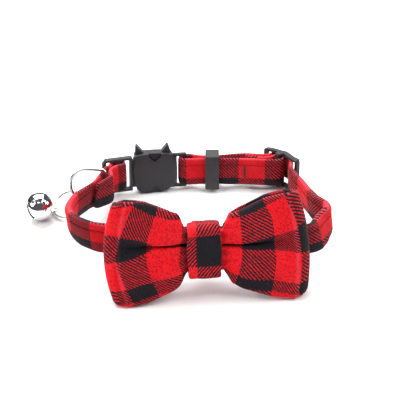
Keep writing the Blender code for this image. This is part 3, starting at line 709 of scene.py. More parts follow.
@dataclass(frozen=True)
class StrapRoute:
    """The strap's way round the neck and through its hardware, eased until its layers clear."""

    free: float = 2.8
    pressed: float = 1.8
    pinched: float = 1.5
    gap: float = 0.42
    coarse: float = 1.0
    fine: float = 0.5
    rounds: int = 240
    neighbours: float = 5.0

    def bars(self) -> list[tuple[tuple[float, float], float, float, float]]:
        """Plan centre, width, depth and heading of each bar that the strap must clear.

        Returns:
            One row for each bar, in millimetres and degrees.
        """
        insert_bars = [(INSERT.plan(u, 0), 1.4, 2.2, INSERT.heading) for u in (-5.35, 0)]
        head_bar = (HEAD.plan(*STRAP_BAR), 1.4, 1.5, HEAD.heading)
        slider_bars = [
            ((25.5, 14.3), 1.5, 1.4, -38.0),
            ((29.3, 9.5), 1.5, 1.4, -46.0),
            ((36.1, 3.3), 1.5, 1.4, -60.0),
        ]
        d_bar = (D_PLACE, 1.2, 1.2, 0.0)
        keeper_walls = [((4.6, y), 5.2, 0.9, 0.0) for y in (6.55, 12.6)]
        elastic_walls = [((BOW_PLACE[0], y), 8.0, 0.8, 0.0) for y in (-46.4, -42.4)]
        return [*insert_bars, head_bar, *slider_bars, d_bar, *keeper_walls, *elastic_walls]

    def guide(self) -> np.ndarray:
        """The route's listed points: plan x, plan y, and 1 free, 0 pressed or -1 pinched.

        Returns:
            The points' rows, from one sewn end to the other.
        """
        route = [(-37.6, -13.3, 0), (-35.6, -10.6, 0), (-33.7, -8.8, 0), (-32.4, -6.2, 0)]
        route += [(-32.6, -3.8, 0), (-33.1, -1.6, 0)]
        half_bar = 1.1
        room = 0.38
        off = half_bar + room + self.pressed / 2
        loop = (
            (-3.0, -3.9), (-0.8, -off), (1.0, 0.3 - off), (2.0, -0.6), (1.9, 0.9), (0.8, off - 0.3),
            (-0.6, off), (-1.7, 1.9), (-2.3, 1.1), (-2.7, 0.0), (-3.1, -1.1), (-3.7, -2.0), (-5.0, -off),
        )
        route += [(*INSERT.plan(u, n), 0) for u, n in loop]
        route += [(-35.5, -1.5, 0), (-36.2, -5.2, 0), (-37.4, -9.0, 0), (-39.3, -12.4, 0.1)]
        route.append((-41.2, -15.6, 0.7))
        ring = (
            (-0.974, -18.8, 1), (-1.0, -21.9, 1), (-1.006, -26.0, 1), (-0.998, -30.0, 1), (-0.967, -33.6, 1),
            (-0.917, -36.8, 1), (-0.852, -39.4, 1), (-0.77, -41.6, 1), (-0.657, -42.8, 1), (-0.453, -43.8, 1),
            (-0.226, -44.3, 0.7), (0.025, -44.4, 0.35), (0.272, -44.0, 0.7), (0.498, -43.6, 1),
            (0.668, -43.4, 1), (0.785, -43.0, 1), (0.852, -41.5, 1), (0.892, -38.8, 1), (0.94, -34.6, 1),
            (0.973, -31.5, 1), (0.992, -28.2, 1), (0.956, -24.5, 1), (0.922, -22.0, 1), (0.881, -16.6, 1),
        )
        route += [(share * RING_HALF_WIDTH, y, t) for share, y, t in ring]
        route += [(37.1, -10.2, 0.8), (34.9, -4.4, 0.4), (33.8, 1.0, 0.1), (34.1, 5.6, 0), (34.4, 9.4, 0)]
        route += [(34.0, 12.4, 0), (32.3, 14.9, -0.5), (30.0, 15.3, -1), (28.3, 14.2, -1), (26.9, 12.7, -1)]
        route += [(24.6, 12.0, -1), (20.6, 12.3, 0.2), (16.6, 12.6, 0.25), (11.8, 11.9, 0.2)]
        route += [(7.2, 10.85, 0), (4.6, 10.7, 0), (2.0, 10.6, 0), (-1.0, 10.9, 0), (-3.4, 11.9, 0)]
        x, y = HEAD.plan(*STRAP_BAR)
        route += [(x, y + 2.05, 0), (x - 1.5, y + 1.6, 0), (x - 2.4, y + 0.2, 0), (x - 1.8, y - 1.4, 0)]
        route += [(x - 0.2, y - 2.05, 0), (-2.6, 7.9, 0), (0.0, 8.3, 0), (2.4, 8.3, 0)]
        route += [(4.6, 8.3, 0), (7.0, 8.3, 0)]
        route += [(11.5, 8.2, 0.2), (16.6, 8.05, 0.25), (20.6, 7.7, 0.2), (24.6, 7.2, -0.5), (27.4, 7.0, -1)]
        route += [(30.0, 7.3, -1), (31.4, 8.8, -1), (31.2, 10.8, -1), (29.9, 12.0, -1), (28.4, 11.5, -1)]
        route += [(27.3, 10.3, -1), (25.2, 9.6, -1), (20.8, 10.0, -0.5), (17.6, 10.3, 0)]
        return np.array(route, float)

    def fair(self, points: np.ndarray, step: float) -> np.ndarray:
        """A fair curve through plan points, at an even step; further columns ride along.

        Args:
            points: rows of x, y and anything more.
            step: distance between the new rows.

        Returns:
            The curve's rows.
        """
        total = len(points)
        out = []
        for i in range(total - 1):
            p1 = points[i]
            p2 = points[i + 1]
            p0 = points[i - 1] if i else 2 * p1 - p2
            p3 = points[i + 2] if i < total - 2 else 2 * p2 - p1
            k0 = np.linalg.norm((p1 - p0)[:2]) ** 0.5
            k1 = k0 + np.linalg.norm((p2 - p1)[:2]) ** 0.5
            k2 = k1 + np.linalg.norm((p3 - p2)[:2]) ** 0.5
            for t in np.linspace(k0, k1, 24, endpoint=False):
                a1 = p0 + (p1 - p0) * (t / k0)
                a2 = p1 + (p2 - p1) * ((t - k0) / (k1 - k0))
                a3 = p2 + (p3 - p2) * ((t - k1) / (k2 - k1))
                b1 = a1 + (a2 - a1) * (t / k1)
                b2 = a2 + (a3 - a2) * ((t - k0) / (k2 - k0))
                out.append(b1 + (b2 - b1) * ((t - k0) / (k1 - k0)))
        out.append(points[-1])
        dense = np.array(out)
        run = np.concatenate([[0], np.cumsum(np.linalg.norm(np.diff(dense[:, :2], axis=0), axis=1))])
        at = np.linspace(0, run[-1], max(2, int(round(run[-1] / step))) + 1)
        return np.column_stack([np.interp(at, run, dense[:, k]) for k in range(dense.shape[1])])

    def _off_bars(self, places: np.ndarray, thickness: np.ndarray) -> None:
        """Moves strap points out of the reach of every bar.

        Args:
            places: the points' plan places, which are changed.
            thickness: the strap's thickness at each.
        """
        for centre, width, depth, heading in self.bars():
            turn = math.radians(heading)
            along = np.array([math.cos(turn), math.sin(turn)])
            across = np.array([-along[1], along[0]])
            q = places - np.array(centre)
            du = q @ along - np.clip(q @ along, -width / 2, width / 2)
            dv = q @ across - np.clip(q @ across, -depth / 2, depth / 2)
            away = np.hypot(du, dv) + 1e-9
            short = thickness / 2 + self.gap - away
            hit = (short > 0) & (away > 0.01)
            places[hit] += (du / away * short)[hit, None] * along
            places[hit] += (dv / away * short)[hit, None] * across

    def settled(self) -> np.ndarray:
        """The eased route at a fine step: plan x, plan y and thickness.

        Returns:
            The route's rows.
        """
        curve = self.fair(self.guide(), self.coarse)
        home = curve[:, :2]
        share = curve[:, 2]
        rise = np.where(share > 0, self.free - self.pressed, self.pressed - self.pinched)
        thickness = self.pressed + rise * share
        places = home.copy()
        order = np.arange(len(places))
        rest = np.linalg.norm(np.diff(home, axis=0), axis=1)
        apart = np.abs(order[:, None] - order[None, :]) * self.coarse > self.neighbours
        need = (thickness[:, None] + thickness[None, :]) / 2 + self.gap
        for _ in range(self.rounds):
            places += (home - places) * 0.05
            bend = np.zeros_like(places)
            bend[1:-1] = (places[:-2] + places[2:]) / 2 - places[1:-1]
            ease = np.zeros_like(places)
            ease[1:-1] = bend[1:-1] - (bend[:-2] + bend[2:]) * 0.45
            places += ease * 0.15
            link = places[1:] - places[:-1]
            length = np.linalg.norm(link, axis=1)
            fix = (link / length[:, None]) * ((length - rest) * 0.4)[:, None]
            places[:-1] += fix
            places[1:] -= fix
            between = places[:, None, :] - places[None, :, :]
            distance = np.linalg.norm(between, axis=2) + 1e-9
            short = np.where(apart & (distance < need), need - distance, 0.0)
            push = (between / distance[:, :, None]) * (short / 2)[:, :, None]
            count = np.maximum((short > 0).sum(axis=1), 1)
            places += push.sum(axis=1) / count[:, None] * 1.2
            self._off_bars(places, thickness)
        return self.fair(np.column_stack([places, thickness]), self.fine)


# the strap


@dataclass
class Strap:
    """The folded flannel strap with its long seam and bar tack."""

    half_height: float = 5.2
    seam_at: float = 0.48
    seam_depth: float = 0.5
    seam_width: float = 0.045
    seam_shade: float = -0.9
    # how much painted highlight the folded edges get, from which height share and within what share of it
    edge_highlight: tuple[float, float, float] = (0.8, 0.86, 0.12)
    # soft swellings of a free stretch: height share, width share and millimetres
    belly: tuple[float, float, float] = (-0.55, 0.3, 0.16)
    roll: tuple[float, float, float] = (0.74, 0.16, 0.1)
    end_round: float = 3.2
    fold_allowance: float = 2.6
    face_length: float = 0.55
    square: float = 10.0
    # the tack's place: plan x, and how near to it and how far back its layer is looked for
    tack_x: float = 16.8
    tack_near: float = 0.4
    tack_back: float = 9.2
    stitches: int = 12
    stitch_top: float = 0.47
    stitch_step: float = 0.078
    stitch_slope: float = 0.22
    # heights round half the section, top to bottom, as shares of the half height
    heights: tuple[float, ...] = (
        1.0, 0.985, 0.94, 0.87, 0.79, 0.7, 0.62, 0.56, 0.52, 0.5, 0.48, 0.46, 0.44, 0.4, 0.34, 0.24, 0.1,
        -0.06, -0.22, -0.38, -0.54, -0.68, -0.8, -0.89, -0.95, -0.985, -1.0,
    )
    # how far the top leans inward per millimetre of height: plan y, left side, right side
    side_lean: tuple[tuple[float, float, float], ...] = (
        (-44, 0.0, 0.0), (-40, -0.1, 0.26), (-36, -0.17, 0.26), (-31, -0.14, 0.12), (-26, -0.03, 0.04),
        (-21, 0.13, 0.1), (-17, 0.2, 0.14), (-12, 0.2, 0.12), (-7.5, 0.0, 0.06), (-3, 0.0, 0.0),
    )
    # where along the strap the plaid's column edges fall: millimetres of strap, column
    columns: tuple[tuple[float, float], ...] = (
        (-1.0, 1), (9.0, 2), (18.0, 3), (26.0, 4), (34.0, 5), (42.0, 6), (48.5, 7), (58.5, 8), (72.5, 9),
        (82.0, 10), (92.0, 11), (147.5, 17), (157.5, 18), (172.5, 19), (182.0, 20), (192.0, 21), (252.4, 27),
        (262.3, 28), (272.2, 29), (282.1, 30), (292.0, 31), (302.0, 32), (322.0, 34),
    )
    # share of the strap's height where the lower black row ends and where the next one begins
    black_rows: tuple[tuple[float, float, float], ...] = (
        (0, 0.4, 1.12), (15, 0.34, 1.12), (30, 0.3, 1.12), (48, 0.33, 1.12), (62, 0.33, 1.12),
        (72, 0.36, 1.0), (84, 0.38, 0.95), (150, 0.36, 0.95), (166, 0.33, 0.95), (174, 0.3, 1.12),
        (200, 0.3, 1.12), (262, 0.27, 1.12), (330, 0.27, 1.12),
    )

    def __post_init__(self) -> None:
        """Works out the route once."""
        self.route = StrapRoute().settled()
        steps = np.linalg.norm(np.diff(self.route[:, :2], axis=0), axis=1)
        self.run = np.concatenate([[0], np.cumsum(steps)])
        self.length = float(self.run[-1])
        self.heading = np.unwrap(np.arctan2(*np.gradient(self.route[:, :2], axis=0).T[::-1]))

    def at(self, run: float) -> tuple[float, float, float, float]:
        """Plan x, plan y, thickness and heading at a length along the strap."""
        x, y, thickness = (float(np.interp(run, self.run, self.route[:, k])) for k in range(3))
        return x, y, thickness, float(np.interp(run, self.run, self.heading))

    def lean_at(self, x: float, y: float) -> float:
        """Sideways shift of the strap per millimetre of its height."""
        return along_table(self.side_lean, y, 1) if x < 0 else -along_table(self.side_lean, y, 2)

    def skin(self, run: float, w: float, face: float) -> Vector:
        """A point on the strap's skin.

        Args:
            run: millimetres along the strap.
            w: height as a share of half the strap's height.
            face: 1 on the outer face and -1 on the neck's side.

        Returns:
            The upright millimetre point.
        """
        x, y, thickness, heading = self.at(run)
        closing = 1.0 - hump(min(run, self.length - run), 0.0, 1.2, 0.35)
        swell = max(1.0 - abs(w) ** 5, 0.0) ** 0.4
        groove = hump(w, self.seam_at, self.seam_width, self.seam_depth)
        soft = hump(w, *self.belly) + hump(w, *self.roll)
        free = max(0.0, min((thickness - StrapRoute.pressed) / (StrapRoute.free - StrapRoute.pressed), 1.0))
        reach = thickness / 2 * swell * closing - groove * (0.45 + 0.55 * free) + soft * free
        reach += 0.14 * free * noise.noise(Vector((run / 5.0, w * 1.6, face * 3.0)))
        reach = max(reach, 0.02) if abs(w) < 1 else 0.0
        normal = (math.sin(heading), -math.cos(heading))
        short = max(self.end_round - run, 0.0)
        cut = self.end_round - math.sqrt(self.end_round ** 2 - short ** 2)
        height = w * (self.half_height - (cut if w < 0 else 0.0))
        height += 0.12 * free * noise.noise(Vector((run / 6.0, w, 9.0)))
        shift = self.lean_at(x, y) * w * self.half_height
        px = x + normal[0] * reach * face + shift
        py = y + normal[1] * reach * face
        return STANCE.upright(px, py, y * STANCE.skew + height)

    def _section(self, share: float) -> tuple[float, float]:
        """Height share and face for a share of the way round the section.

        Args:
            share: 0 to 1, down the outer face and up the inner one.

        Returns:
            The height share, and 1 or -1 for the face.
        """
        last = len(self.heights) - 1
        step = int(round(share * 2 * last))
        if step <= last:
            return self.heights[step], 1.0
        return self.heights[2 * last - step], -1.0

    def squares(self, run: float, w: float) -> tuple[float, float]:
        """Plaid coordinates at a length and height of the strap.

        Args:
            run: millimetres along the strap.
            w: height as a share of half the strap's height.

        Returns:
            Column and row on the weave map.
        """
        low = along_table(self.black_rows, run, 1)
        high = along_table(self.black_rows, run, 2)
        height = (w + 1) / 2
        scale = 2 * self.half_height / self.square
        row = 2.0 + (height - low) * scale if height < high else 3.0 + (height - high) * scale
        return along_table(self.columns, run), row

    def build(self, cloth: bpy.types.Material) -> bpy.types.Object:
        """The strap itself, one folded length from sewn end to sewn end.

        Args:
            cloth: the flannel.

        Returns:
            The strap's object.
        """
        count = int(self.length / self.face_length)

        def place(a: float, b: float) -> Vector:
            """The strap's skin for shares along and round it."""
            w, face = self._section(b)
            return self.skin(a * self.length, w, face)

        def pattern(a: float, b: float) -> tuple[float, float]:
            """The plaid for the same shares."""
            return self.squares(a * self.length, self._section(b)[0])

        def paint_light(a: float, b: float) -> float:
            """The folded edges get painted highlight, and the seam painted shade.

            Args:
                a: the share along the strap.
                b: the share round its section.

            Returns:
                How much painted highlight there, or painted shade at the seam.
            """
            w = self._section(b)[0]
            if abs(w - self.seam_at) < 0.015:
                return self.seam_shade
            most, start, width = self.edge_highlight
            return max(0.0, min((abs(w) - start) / width, 1.0)) * most

        bm = weave_grid(count, 2 * (len(self.heights) - 1), place, pattern, paint_light)
        rims = [e for e in bm.edges if e.is_boundary]
        bmesh.ops.holes_fill(bm, edges=rims, sides=0)
        piece = finished(bm, "plaid_strap", cloth)
        stand_in(piece, "plaid_flannel", "collar_band")
        return piece

    def build_tack(self, thread: bpy.types.Material) -> bpy.types.Object:
        """The bar tack that holds the strap's turned end, as close stitches of thread.

        Args:
            thread: the thread's finish.

        Returns:
            The tack's object.
        """
        near = [
            run for run, (x, y, _) in zip(self.run, self.route)
            if abs(x - self.tack_x) < self.tack_near and 0.0 < y < self.tack_back
        ]
        run = float(near[0])
        bm = bmesh.new()
        for k in range(self.stitches):
            w = self.stitch_top - self.stitch_step * k
            here = self.skin(run, w, 1.0)
            ahead = (self.skin(run + 0.5, w, 1.0) - here).normalized()
            out = (here - self.skin(run, w, -1.0)).normalized()
            made = bmesh.ops.create_uvsphere(bm, u_segments=10, v_segments=6, radius=1.0)
            turn = Matrix((ahead, ahead.cross(out), out)).transposed().to_4x4()
            slope = Matrix.Rotation(self.stitch_slope if k % 2 else -self.stitch_slope, 4, "Z")
            size = Matrix.Diagonal((0.62, 0.2, 0.16, 1.0))
            place = Matrix.Translation(here + out * 0.02) @ turn @ slope @ size
            bmesh.ops.transform(bm, matrix=place, verts=made["verts"])
        for face in bm.faces:
            face.smooth = True
        piece = finished(bm, "strap_bar_tack", thread)
        stand_in(piece, "black_elastic")
        return piece


# the bow


@dataclass
class BowTie:
    """The pleated bow, its knot and the elastic loop behind it."""

    left: float = 30.9
    right: float = 33.2
    half_height: float = 16.9
    back_trim: float = 2.3
    wall: float = 1.8
    puff: float = 3.0
    waist: float = 1.1
    end_depth: float = 3.9
    # how much painted highlight the rims and the pressed lines near both ends get
    rim_highlight: float = 0.55
    pressed_highlight: float = 0.65
    # the right end's raised corner: its height and where its climb starts
    right_peak: float = 1.3
    peak_from: float = 12.0
    # how much of the lowest black row shows before the cloth turns under
    low_row_left: float = 4.6
    low_row_right: float = 3.6
    # the plaid's square on the bow, and how much lower its rows lie on the back
    square: float = 9.6
    back_drop: float = 4.2
    # the pleat's height: of the fine rows along it, at the left, at the right and its climb per millimetre
    crease_middle: float = 2.2
    crease_left: float = 2.45
    crease_right: float = 1.6
    crease_climb: float = 0.03
    knot_width: float = 10.7
    knot_height: float = 17.6
    knot_depth: float = 7.55
    knot_wall: float = 1.3
    knot_corner: float = 1.5
    # where the knot's plaid starts: width of its left square, height over its lower one, row height
    knot_plaid: tuple[float, float, float] = (2.55, 4.3, 10.1)
    elastic_width: float = 8.0
    elastic_wall: float = 0.8
    elastic_corner: float = 0.55
    elastic_half_room: float = 2.0
    elastic_gap: float = 0.48
    strap_line: float = -44.4
    # half height of the bow: share of the half width, share of the half height
    outline: tuple[tuple[float, float], ...] = (
        (0, 0.415), (0.185, 0.415), (0.21, 0.5), (0.27, 0.68), (0.39, 0.78), (0.51, 0.86), (0.65, 0.95),
        (0.76, 0.98), (0.88, 1.0), (1.0, 0.98),
    )
    # the pleat: share of the half width, its half opening and its depth in millimetres
    pleat: tuple[tuple[float, float, float], ...] = (
        (0, 0.7, 0.0), (0.16, 0.7, 0.5), (0.2, 0.75, 1.5), (0.5, 0.95, 1.9), (0.6, 2.0, 2.1),
        (0.78, 3.6, 2.0), (0.86, 3.7, 0.9), (0.91, 3.7, 0.0), (1.0, 3.7, 0.0),
    )
    # the two soft lobes above and below the pleat: share of the half width, depth in millimetres
    lobes: tuple[tuple[float, float], ...] = (
        (0, 0.0), (0.16, 0.3), (0.24, 1.3), (0.4, 1.5), (0.6, 1.1), (0.8, 0.5), (0.9, 0.12), (1.0, 0.0),
    )
    # bow x, millimetres that the front's top edge stands over the back's
    front_rise: tuple[tuple[float, float], ...] = (
        (-30.9, 0.6), (-27.0, 1.0), (-12.0, 1.2), (-7.6, 1.5), (-6.0, 0.0), (6.2, 0.0), (8.0, 0.5),
        (20.0, 0.6), (33.2, 0.4),
    )
    # plaid row edges on the front: bow x, then heights where rows 3, 2, 1 and 0 begin
    rows: tuple[tuple[float, float, float, float, float], ...] = (
        (-30.9, 15.3, 7.5, -1.9, -11.5), (-28.7, 15.6, 7.1, -1.6, -11.2), (-24.4, 15.8, 6.0, -1.2, -10.5),
        (-21.3, 14.5, 5.4, -0.1, -9.5), (-17.4, 12.8, 4.1, 1.3, -8.7), (-16.2, 12.4, 2.75, 2.45, -8.1),
        (-12.2, 11.2, 2.45, 2.15, -7.6), (-7.2, 9.6, 2.3, 2.0, -6.6), (5.6, 9.8, 1.75, 1.45, -6.0),
        (11.2, 10.9, 1.7, 1.3, -8.3), (13.1, 11.5, 2.4, 0.8, -9.1), (17.5, 12.6, 3.4, 0.4, -9.7),
        (22.0, 14.3, 4.5, 0.1, -9.9), (29.2, 16.5, 6.2, -1.2, -11.7), (31.7, 18.0, 7.9, -1.7, -11.9),
        (33.2, 18.2, 8.2, -1.9, -12.0),
    )
    # plaid column edges on the front: bow height, then x where columns 1 to 7 begin
    column_edges: tuple[tuple[float, ...], ...] = (
        (-14.0, -25.2, -15.4, -6.0, -0.5, 9.2, 21.2, 30.0),
        (-9.0, -26.3, -16.9, -7.0, -0.5, 10.4, 21.9, 30.3),
        (-4.0, -27.4, -18.0, -8.5, -0.5, 11.6, 22.5, 30.5),
        (0.0, -27.8, -18.4, -8.1, -0.5, 12.1, 22.5, 30.3),
        (6.0, -26.8, -17.9, -7.2, -0.5, 12.1, 22.6, 30.1),
        (11.0, -25.6, -16.6, -6.8, -0.5, 11.9, 22.4, 29.6),
        (16.0, -24.4, -15.2, -6.4, -0.5, 11.6, 20.4, 28.4),
    )
    # the same on the back, by bow x alone, left then right
    back_left: tuple[tuple[float, float], ...] = (
        (-30.9, 0.6), (-28.4, 0.0), (-23.6, -1.0), (-16.4, -2.0), (-6.4, -3.0), (0.0, -4.0),
    )
    back_right: tuple[tuple[float, float], ...] = (
        (0.0, 12.0), (7.0, 11.0), (14.8, 10.0), (23.9, 9.0), (29.2, 8.0), (33.2, 7.3),
    )
    # the ribbon's turn at each end, back to front: share of the end's depth, share of the puff
    end_turn: tuple[tuple[float, float], ...] = (
        (0.1, 0.97), (0.24, 0.9), (0.38, 0.81), (0.51, 0.7), (0.63, 0.57), (0.74, 0.43), (0.83, 0.28),
        (0.9, 0.12), (0.95, -0.04), (0.985, -0.2), (1.0, -0.36), (0.985, -0.52), (0.935, -0.66),
        (0.86, -0.77), (0.76, -0.845), (0.64, -0.895), (0.52, -0.93), (0.39, -0.955), (0.26, -0.975),
        (0.13, -0.99),
    )

    def __post_init__(self) -> None:
        """Lays out the ribbon's loop and its section once."""
        turn = Matrix.Rotation(math.radians(4.0), 3, "Z")
        turn = turn @ Matrix.Rotation(math.radians(-4.0), 3, "X")
        self.turn = turn @ Matrix.Rotation(math.radians(-1.4), 3, "Y")
        self.loop = self._loop()
        self.section = self._section()

    def point(self, x: float, y: float, z: float) -> Vector:
        """The upright point of bow millimetres: right, back and up."""
        p = self.turn @ Vector((x, y, z))
        return STANCE.upright(BOW_PLACE[0] + p.x, BOW_PLACE[1] + p.y, BOW_PLACE[2] + p.z)

    def _offset(self, share: float) -> float:
        """A panel's middle line off the bow's middle plane."""
        t = min(max((share - 0.2) / 0.24, 0.0), 1.0)
        return self.waist + (self.puff - self.waist) * t * t * (3 - 2 * t)

    def _loop(self) -> list[tuple[float, float]]:
        """The ribbon's plan once round, from the back's middle by the left end and the front.

        Returns:
            Bow x and depth of each place.
        """
        reach_left = self.left - self.end_depth
        reach_right = self.right - self.end_depth
        back_left = [(-reach_left * t, self._offset(t)) for t in np.linspace(0, 1, 44)]
        end = [(share * self.end_depth, y * self.puff) for share, y in self.end_turn]
        left_end = [(-reach_left - x, y) for x, y in end]
        front_left = [(-reach_left * t, -self._offset(t)) for t in np.linspace(1, 0, 74)]
        front_right = [(reach_right * t, -self._offset(t)) for t in np.linspace(0, 1, 78)[1:]]
        right_end = [(reach_right + x, -y) for x, y in end]
        back_right = [(reach_right * t, self._offset(t)) for t in np.linspace(1, 0, 44)]
        return back_left + left_end + front_left + front_right + right_end + back_right

    def _section(self) -> list[tuple[float, float]]:
        """Height share and side of the wall, once round the ribbon's own section.

        Returns:
            Rows of the height share and 1 outside or -1 inside.
        """
        middle = self.crease_middle / self.half_height
        outer = set(np.linspace(-0.985, 0.985, 58).round(4)) | {-1.0, -0.996, 0.996, 1.0}
        outer |= {round(middle + d, 4) for d in (-0.045, -0.03, -0.015, 0.0, 0.015, 0.03, 0.045)}
        upper = [0.99, 0.96, 0.9, 0.75, 0.6, 0.4, 0.2]
        inner = [*upper, 0.0, *(-z for z in reversed(upper)), -1.0]
        return [(z, 1.0) for z in sorted(outer)] + [(z, -1.0) for z in inner]

    def _fold(self, x: float, z: float, side: float) -> float:
        """How far a panel stands out from its own middle line at bow x and height z.

        Args:
            x: bow x.
            z: bow height.
            side: 1 for the back panel and -1 for the front.

        Returns:
            Millimetres outward.
        """
        width = self.right if x > 0 else self.left
        share = min(abs(x) / width, 1.0)
        opening = along_table(self.pleat, share, 1)
        depth = along_table(self.pleat, share, 2)
        crease = self.crease_left if x < 0 else self.crease_right + self.crease_climb * max(x - 5, 0)
        off = abs(z - crease) / opening
        valley = depth * max(0.0, 1 - off) ** (0.75 if share > 0.55 else 1.2)
        swell = along_table(self.lobes, share)
        half = self.half(x)
        span = half - crease if z > crease else half + crease
        s = min(abs(z - crease) / max(span, 1.0), 1.0)
        round_up = swell * ((4 * s * (1 - s)) ** 0.55 - 0.5)
        gather = hump(share, 0.2, 0.13, 0.32) * math.sin(z * 2.3 + side * 1.3 + math.copysign(0.9, x))
        soft = 0.22 * noise.noise(Vector((x / 7.0, z / 7.0, side * 4.0))) * min(share * 3, 1.0)
        if side > 0:
            valley *= 0.7
        return round_up - valley + gather + soft

    def half(self, x: float) -> float:
        """Half the bow's height at bow x."""
        width = self.right if x > 0 else self.left
        return along_table(self.outline, min(abs(x) / width, 1.0)) * self.half_height

    def skin(self, step: int, z_share: float, face: float) -> Vector:
        """A point on the ribbon's skin.

        Args:
            step: place in the loop.
            z_share: height as a share of the half height there.
            face: 1 outside the loop, -1 inside it.

        Returns:
            The upright millimetre point.
        """
        total = len(self.loop)
        x, y = self.loop[step % total]
        x0, y0 = self.loop[(step - 1) % total]
        x1, y1 = self.loop[(step + 1) % total]
        ahead = Vector((x1 - x0, y1 - y0)).normalized()
        out = Vector((ahead.y, -ahead.x))
        half = self.half(x)
        share = min(abs(x) / (self.right if x > 0 else self.left), 1.0)
        trim = self.back_trim * min(max((y + self.puff) / (2 * self.puff), 0.0), 1.0) * min(1.0, share * 3)
        climb = max(0.0, (x - self.peak_from) / (self.right - self.peak_from))
        peak = self.right_peak * climb**1.3 if z_share > 0 else 0.0
        z = z_share * (half - (trim if z_share < 0 else 0.0)) + peak * max(z_share, 0.0) ** 2
        if y < 0 and z_share > 0:
            z += along_table(self.front_rise, x) * z_share**3
        v = z / self.half_height
        rounding, slant = (0.06, -0.04) if x > 0 else (0.1, -0.012)
        px = x * (1 - (rounding * v * v - slant * v) * min(share * 2, 1.0))
        rim = min(half * (1 - abs(z_share)) / (self.wall / 2), 1.0)
        reach = self.wall / 2 * max(1 - (1 - rim) ** 3, 0.0) ** 0.4 * face
        side = 1.0 if y > 0 else -1.0
        turned = max(0.0, 1 - abs(abs(y) - self.puff) / 1.2) if share > 0.5 else 1.0
        push = self._fold(x, z, side) * turned
        reach_left = self.left - self.end_depth
        reach_right = self.right - self.end_depth
        at_ridge = x + reach_left if x < 0 else x - reach_right
        beyond = -at_ridge if x < 0 else at_ridge
        ridge = 0.0
        if side < 0 and abs(y) > 1.5:
            ridge = hump(beyond, 0.0, 0.4, 0.35) - hump(beyond, 1.0, 0.5, 0.4)
        return self.point(px + out.x * reach, y + out.y * reach + side * (push + ridge), z)

    def squares(self, step: int, z: float) -> tuple[float, float]:
        """Plaid coordinates at a place in the loop and a bow height.

        Args:
            step: place in the loop.
            z: bow height.

        Returns:
            Column and row on the weave map.
        """
        x, y = self.loop[step % len(self.loop)]
        if step >= len(self.loop):
            x = 1e-6
        rows = np.array(self.rows)
        starts = [along_table(rows, x, k) for k in (4, 3, 2, 1)]
        if y > 0:
            fade = min((self.left + x if x < 0 else self.right - x) / 5.0, 1.0)
            starts = [s - self.back_drop * fade for s in starts]
        if z <= starts[0]:
            below = starts[0] - z
            shown = self.low_row_left if x < 0 else self.low_row_right
            v = -below / self.square if below < shown else -1 - (below - shown) / self.square
        elif z >= starts[3]:
            v = 3 + (z - starts[3]) / self.square
        else:
            v = float(np.interp(z, starts, [0, 1, 2, 3]))
        if y > 0:
            at_left = x < 0 or step < len(self.loop) / 2
            return along_table(self.back_left if at_left else self.back_right, x), v
        edges = np.array(self.column_edges)
        begins = [along_table(edges, z, k) for k in range(1, 8)]
        if x < begins[0]:
            u = max(1 - (begins[0] - x) / self.square, 0.6)
        elif x > begins[6]:
            u = 7 + (x - begins[6]) / self.square
        else:
            u = float(np.interp(x, begins, [1, 2, 3, 4, 5, 6, 7]))
        return u, v

    def build_wings(self, cloth: bpy.types.Material) -> bpy.types.Object:
        """The ribbon of both wings, pleated, lobed and turned at its ends.

        Args:
            cloth: the flannel.

        Returns:
            The ribbon's object.
        """
        total = len(self.loop)
        round_it = len(self.section)

        def place(a: float, b: float) -> Vector:
            """The ribbon's skin for shares along the loop and round the section."""
            z_share, face = self.section[int(round(b * round_it)) % round_it]
            return self.skin(int(round(a * total)), z_share, face)

        def pattern(a: float, b: float) -> tuple[float, float]:
            """The plaid for the same shares.

            Args:
                a: the share along or round the loop.
                b: the share round the section.

            Returns:
                Column and row on the weave map.
            """
            step = int(round(a * total))
            z_share = self.section[int(round(b * round_it)) % round_it][0]
            return self.squares(step, z_share * self.half(self.loop[step % total][0]))

        def paint_light(a: float, b: float) -> float:
            """The folded rims and the pressed lines near both ends get painted highlight.

            Args:
                a: the share along the loop.
                b: the share round the section.

            Returns:
                How much painted highlight there.
            """
            x, y = self.loop[int(round(a * total)) % total]
            z_share = self.section[int(round(b * round_it)) % round_it][0]
            beyond = abs(x) - ((self.left if x < 0 else self.right) - self.end_depth)
            pressed = hump(beyond, 0.0, 0.42, self.pressed_highlight) if y < -1.5 else 0.0
            return max(pressed, self.rim_highlight if abs(z_share) > 0.98 else 0.0)

        bm = weave_grid(total, round_it, place, pattern, paint_light)
        piece = finished(bm, "bow_ribbon", cloth)
        stand_in(piece, "plaid_flannel_bow", "bow_wings")
        return piece

    def _ring(self, half_depth: float, half_height: float, corner: float, steps: int) -> RingRows:
        """A rounded upright loop: depth, height and the run to each point, from the back's middle.

        Args:
            half_depth: half the loop's depth.
            half_height: half its height.
            corner: the corners' radius.
            steps: points round the loop.

        Returns:
            Rows of depth, height and run.
        """
        dense = [(half_depth, 0.0)]
        corners = ((1, 1, 0), (-1, 1, 90), (-1, -1, 180), (1, -1, 270))
        for sx, sy, start in corners:
            for k in range(13):
                t = math.radians(start + 7.5 * k)
                depth = sx * (half_depth - corner) + corner * math.cos(t)
                height = sy * (half_height - corner) + corner * math.sin(t)
                dense.append((depth, height))
        dense.append((half_depth, 0.0))
        line = np.array(dense)
        run = np.concatenate([[0], np.cumsum(np.linalg.norm(np.diff(line, axis=0), axis=1))])
        table = np.column_stack([run, line])
        at = np.linspace(0, run[-1], steps + 1)
        return [(along_table(table, s, 1), along_table(table, s, 2), float(s)) for s in at]

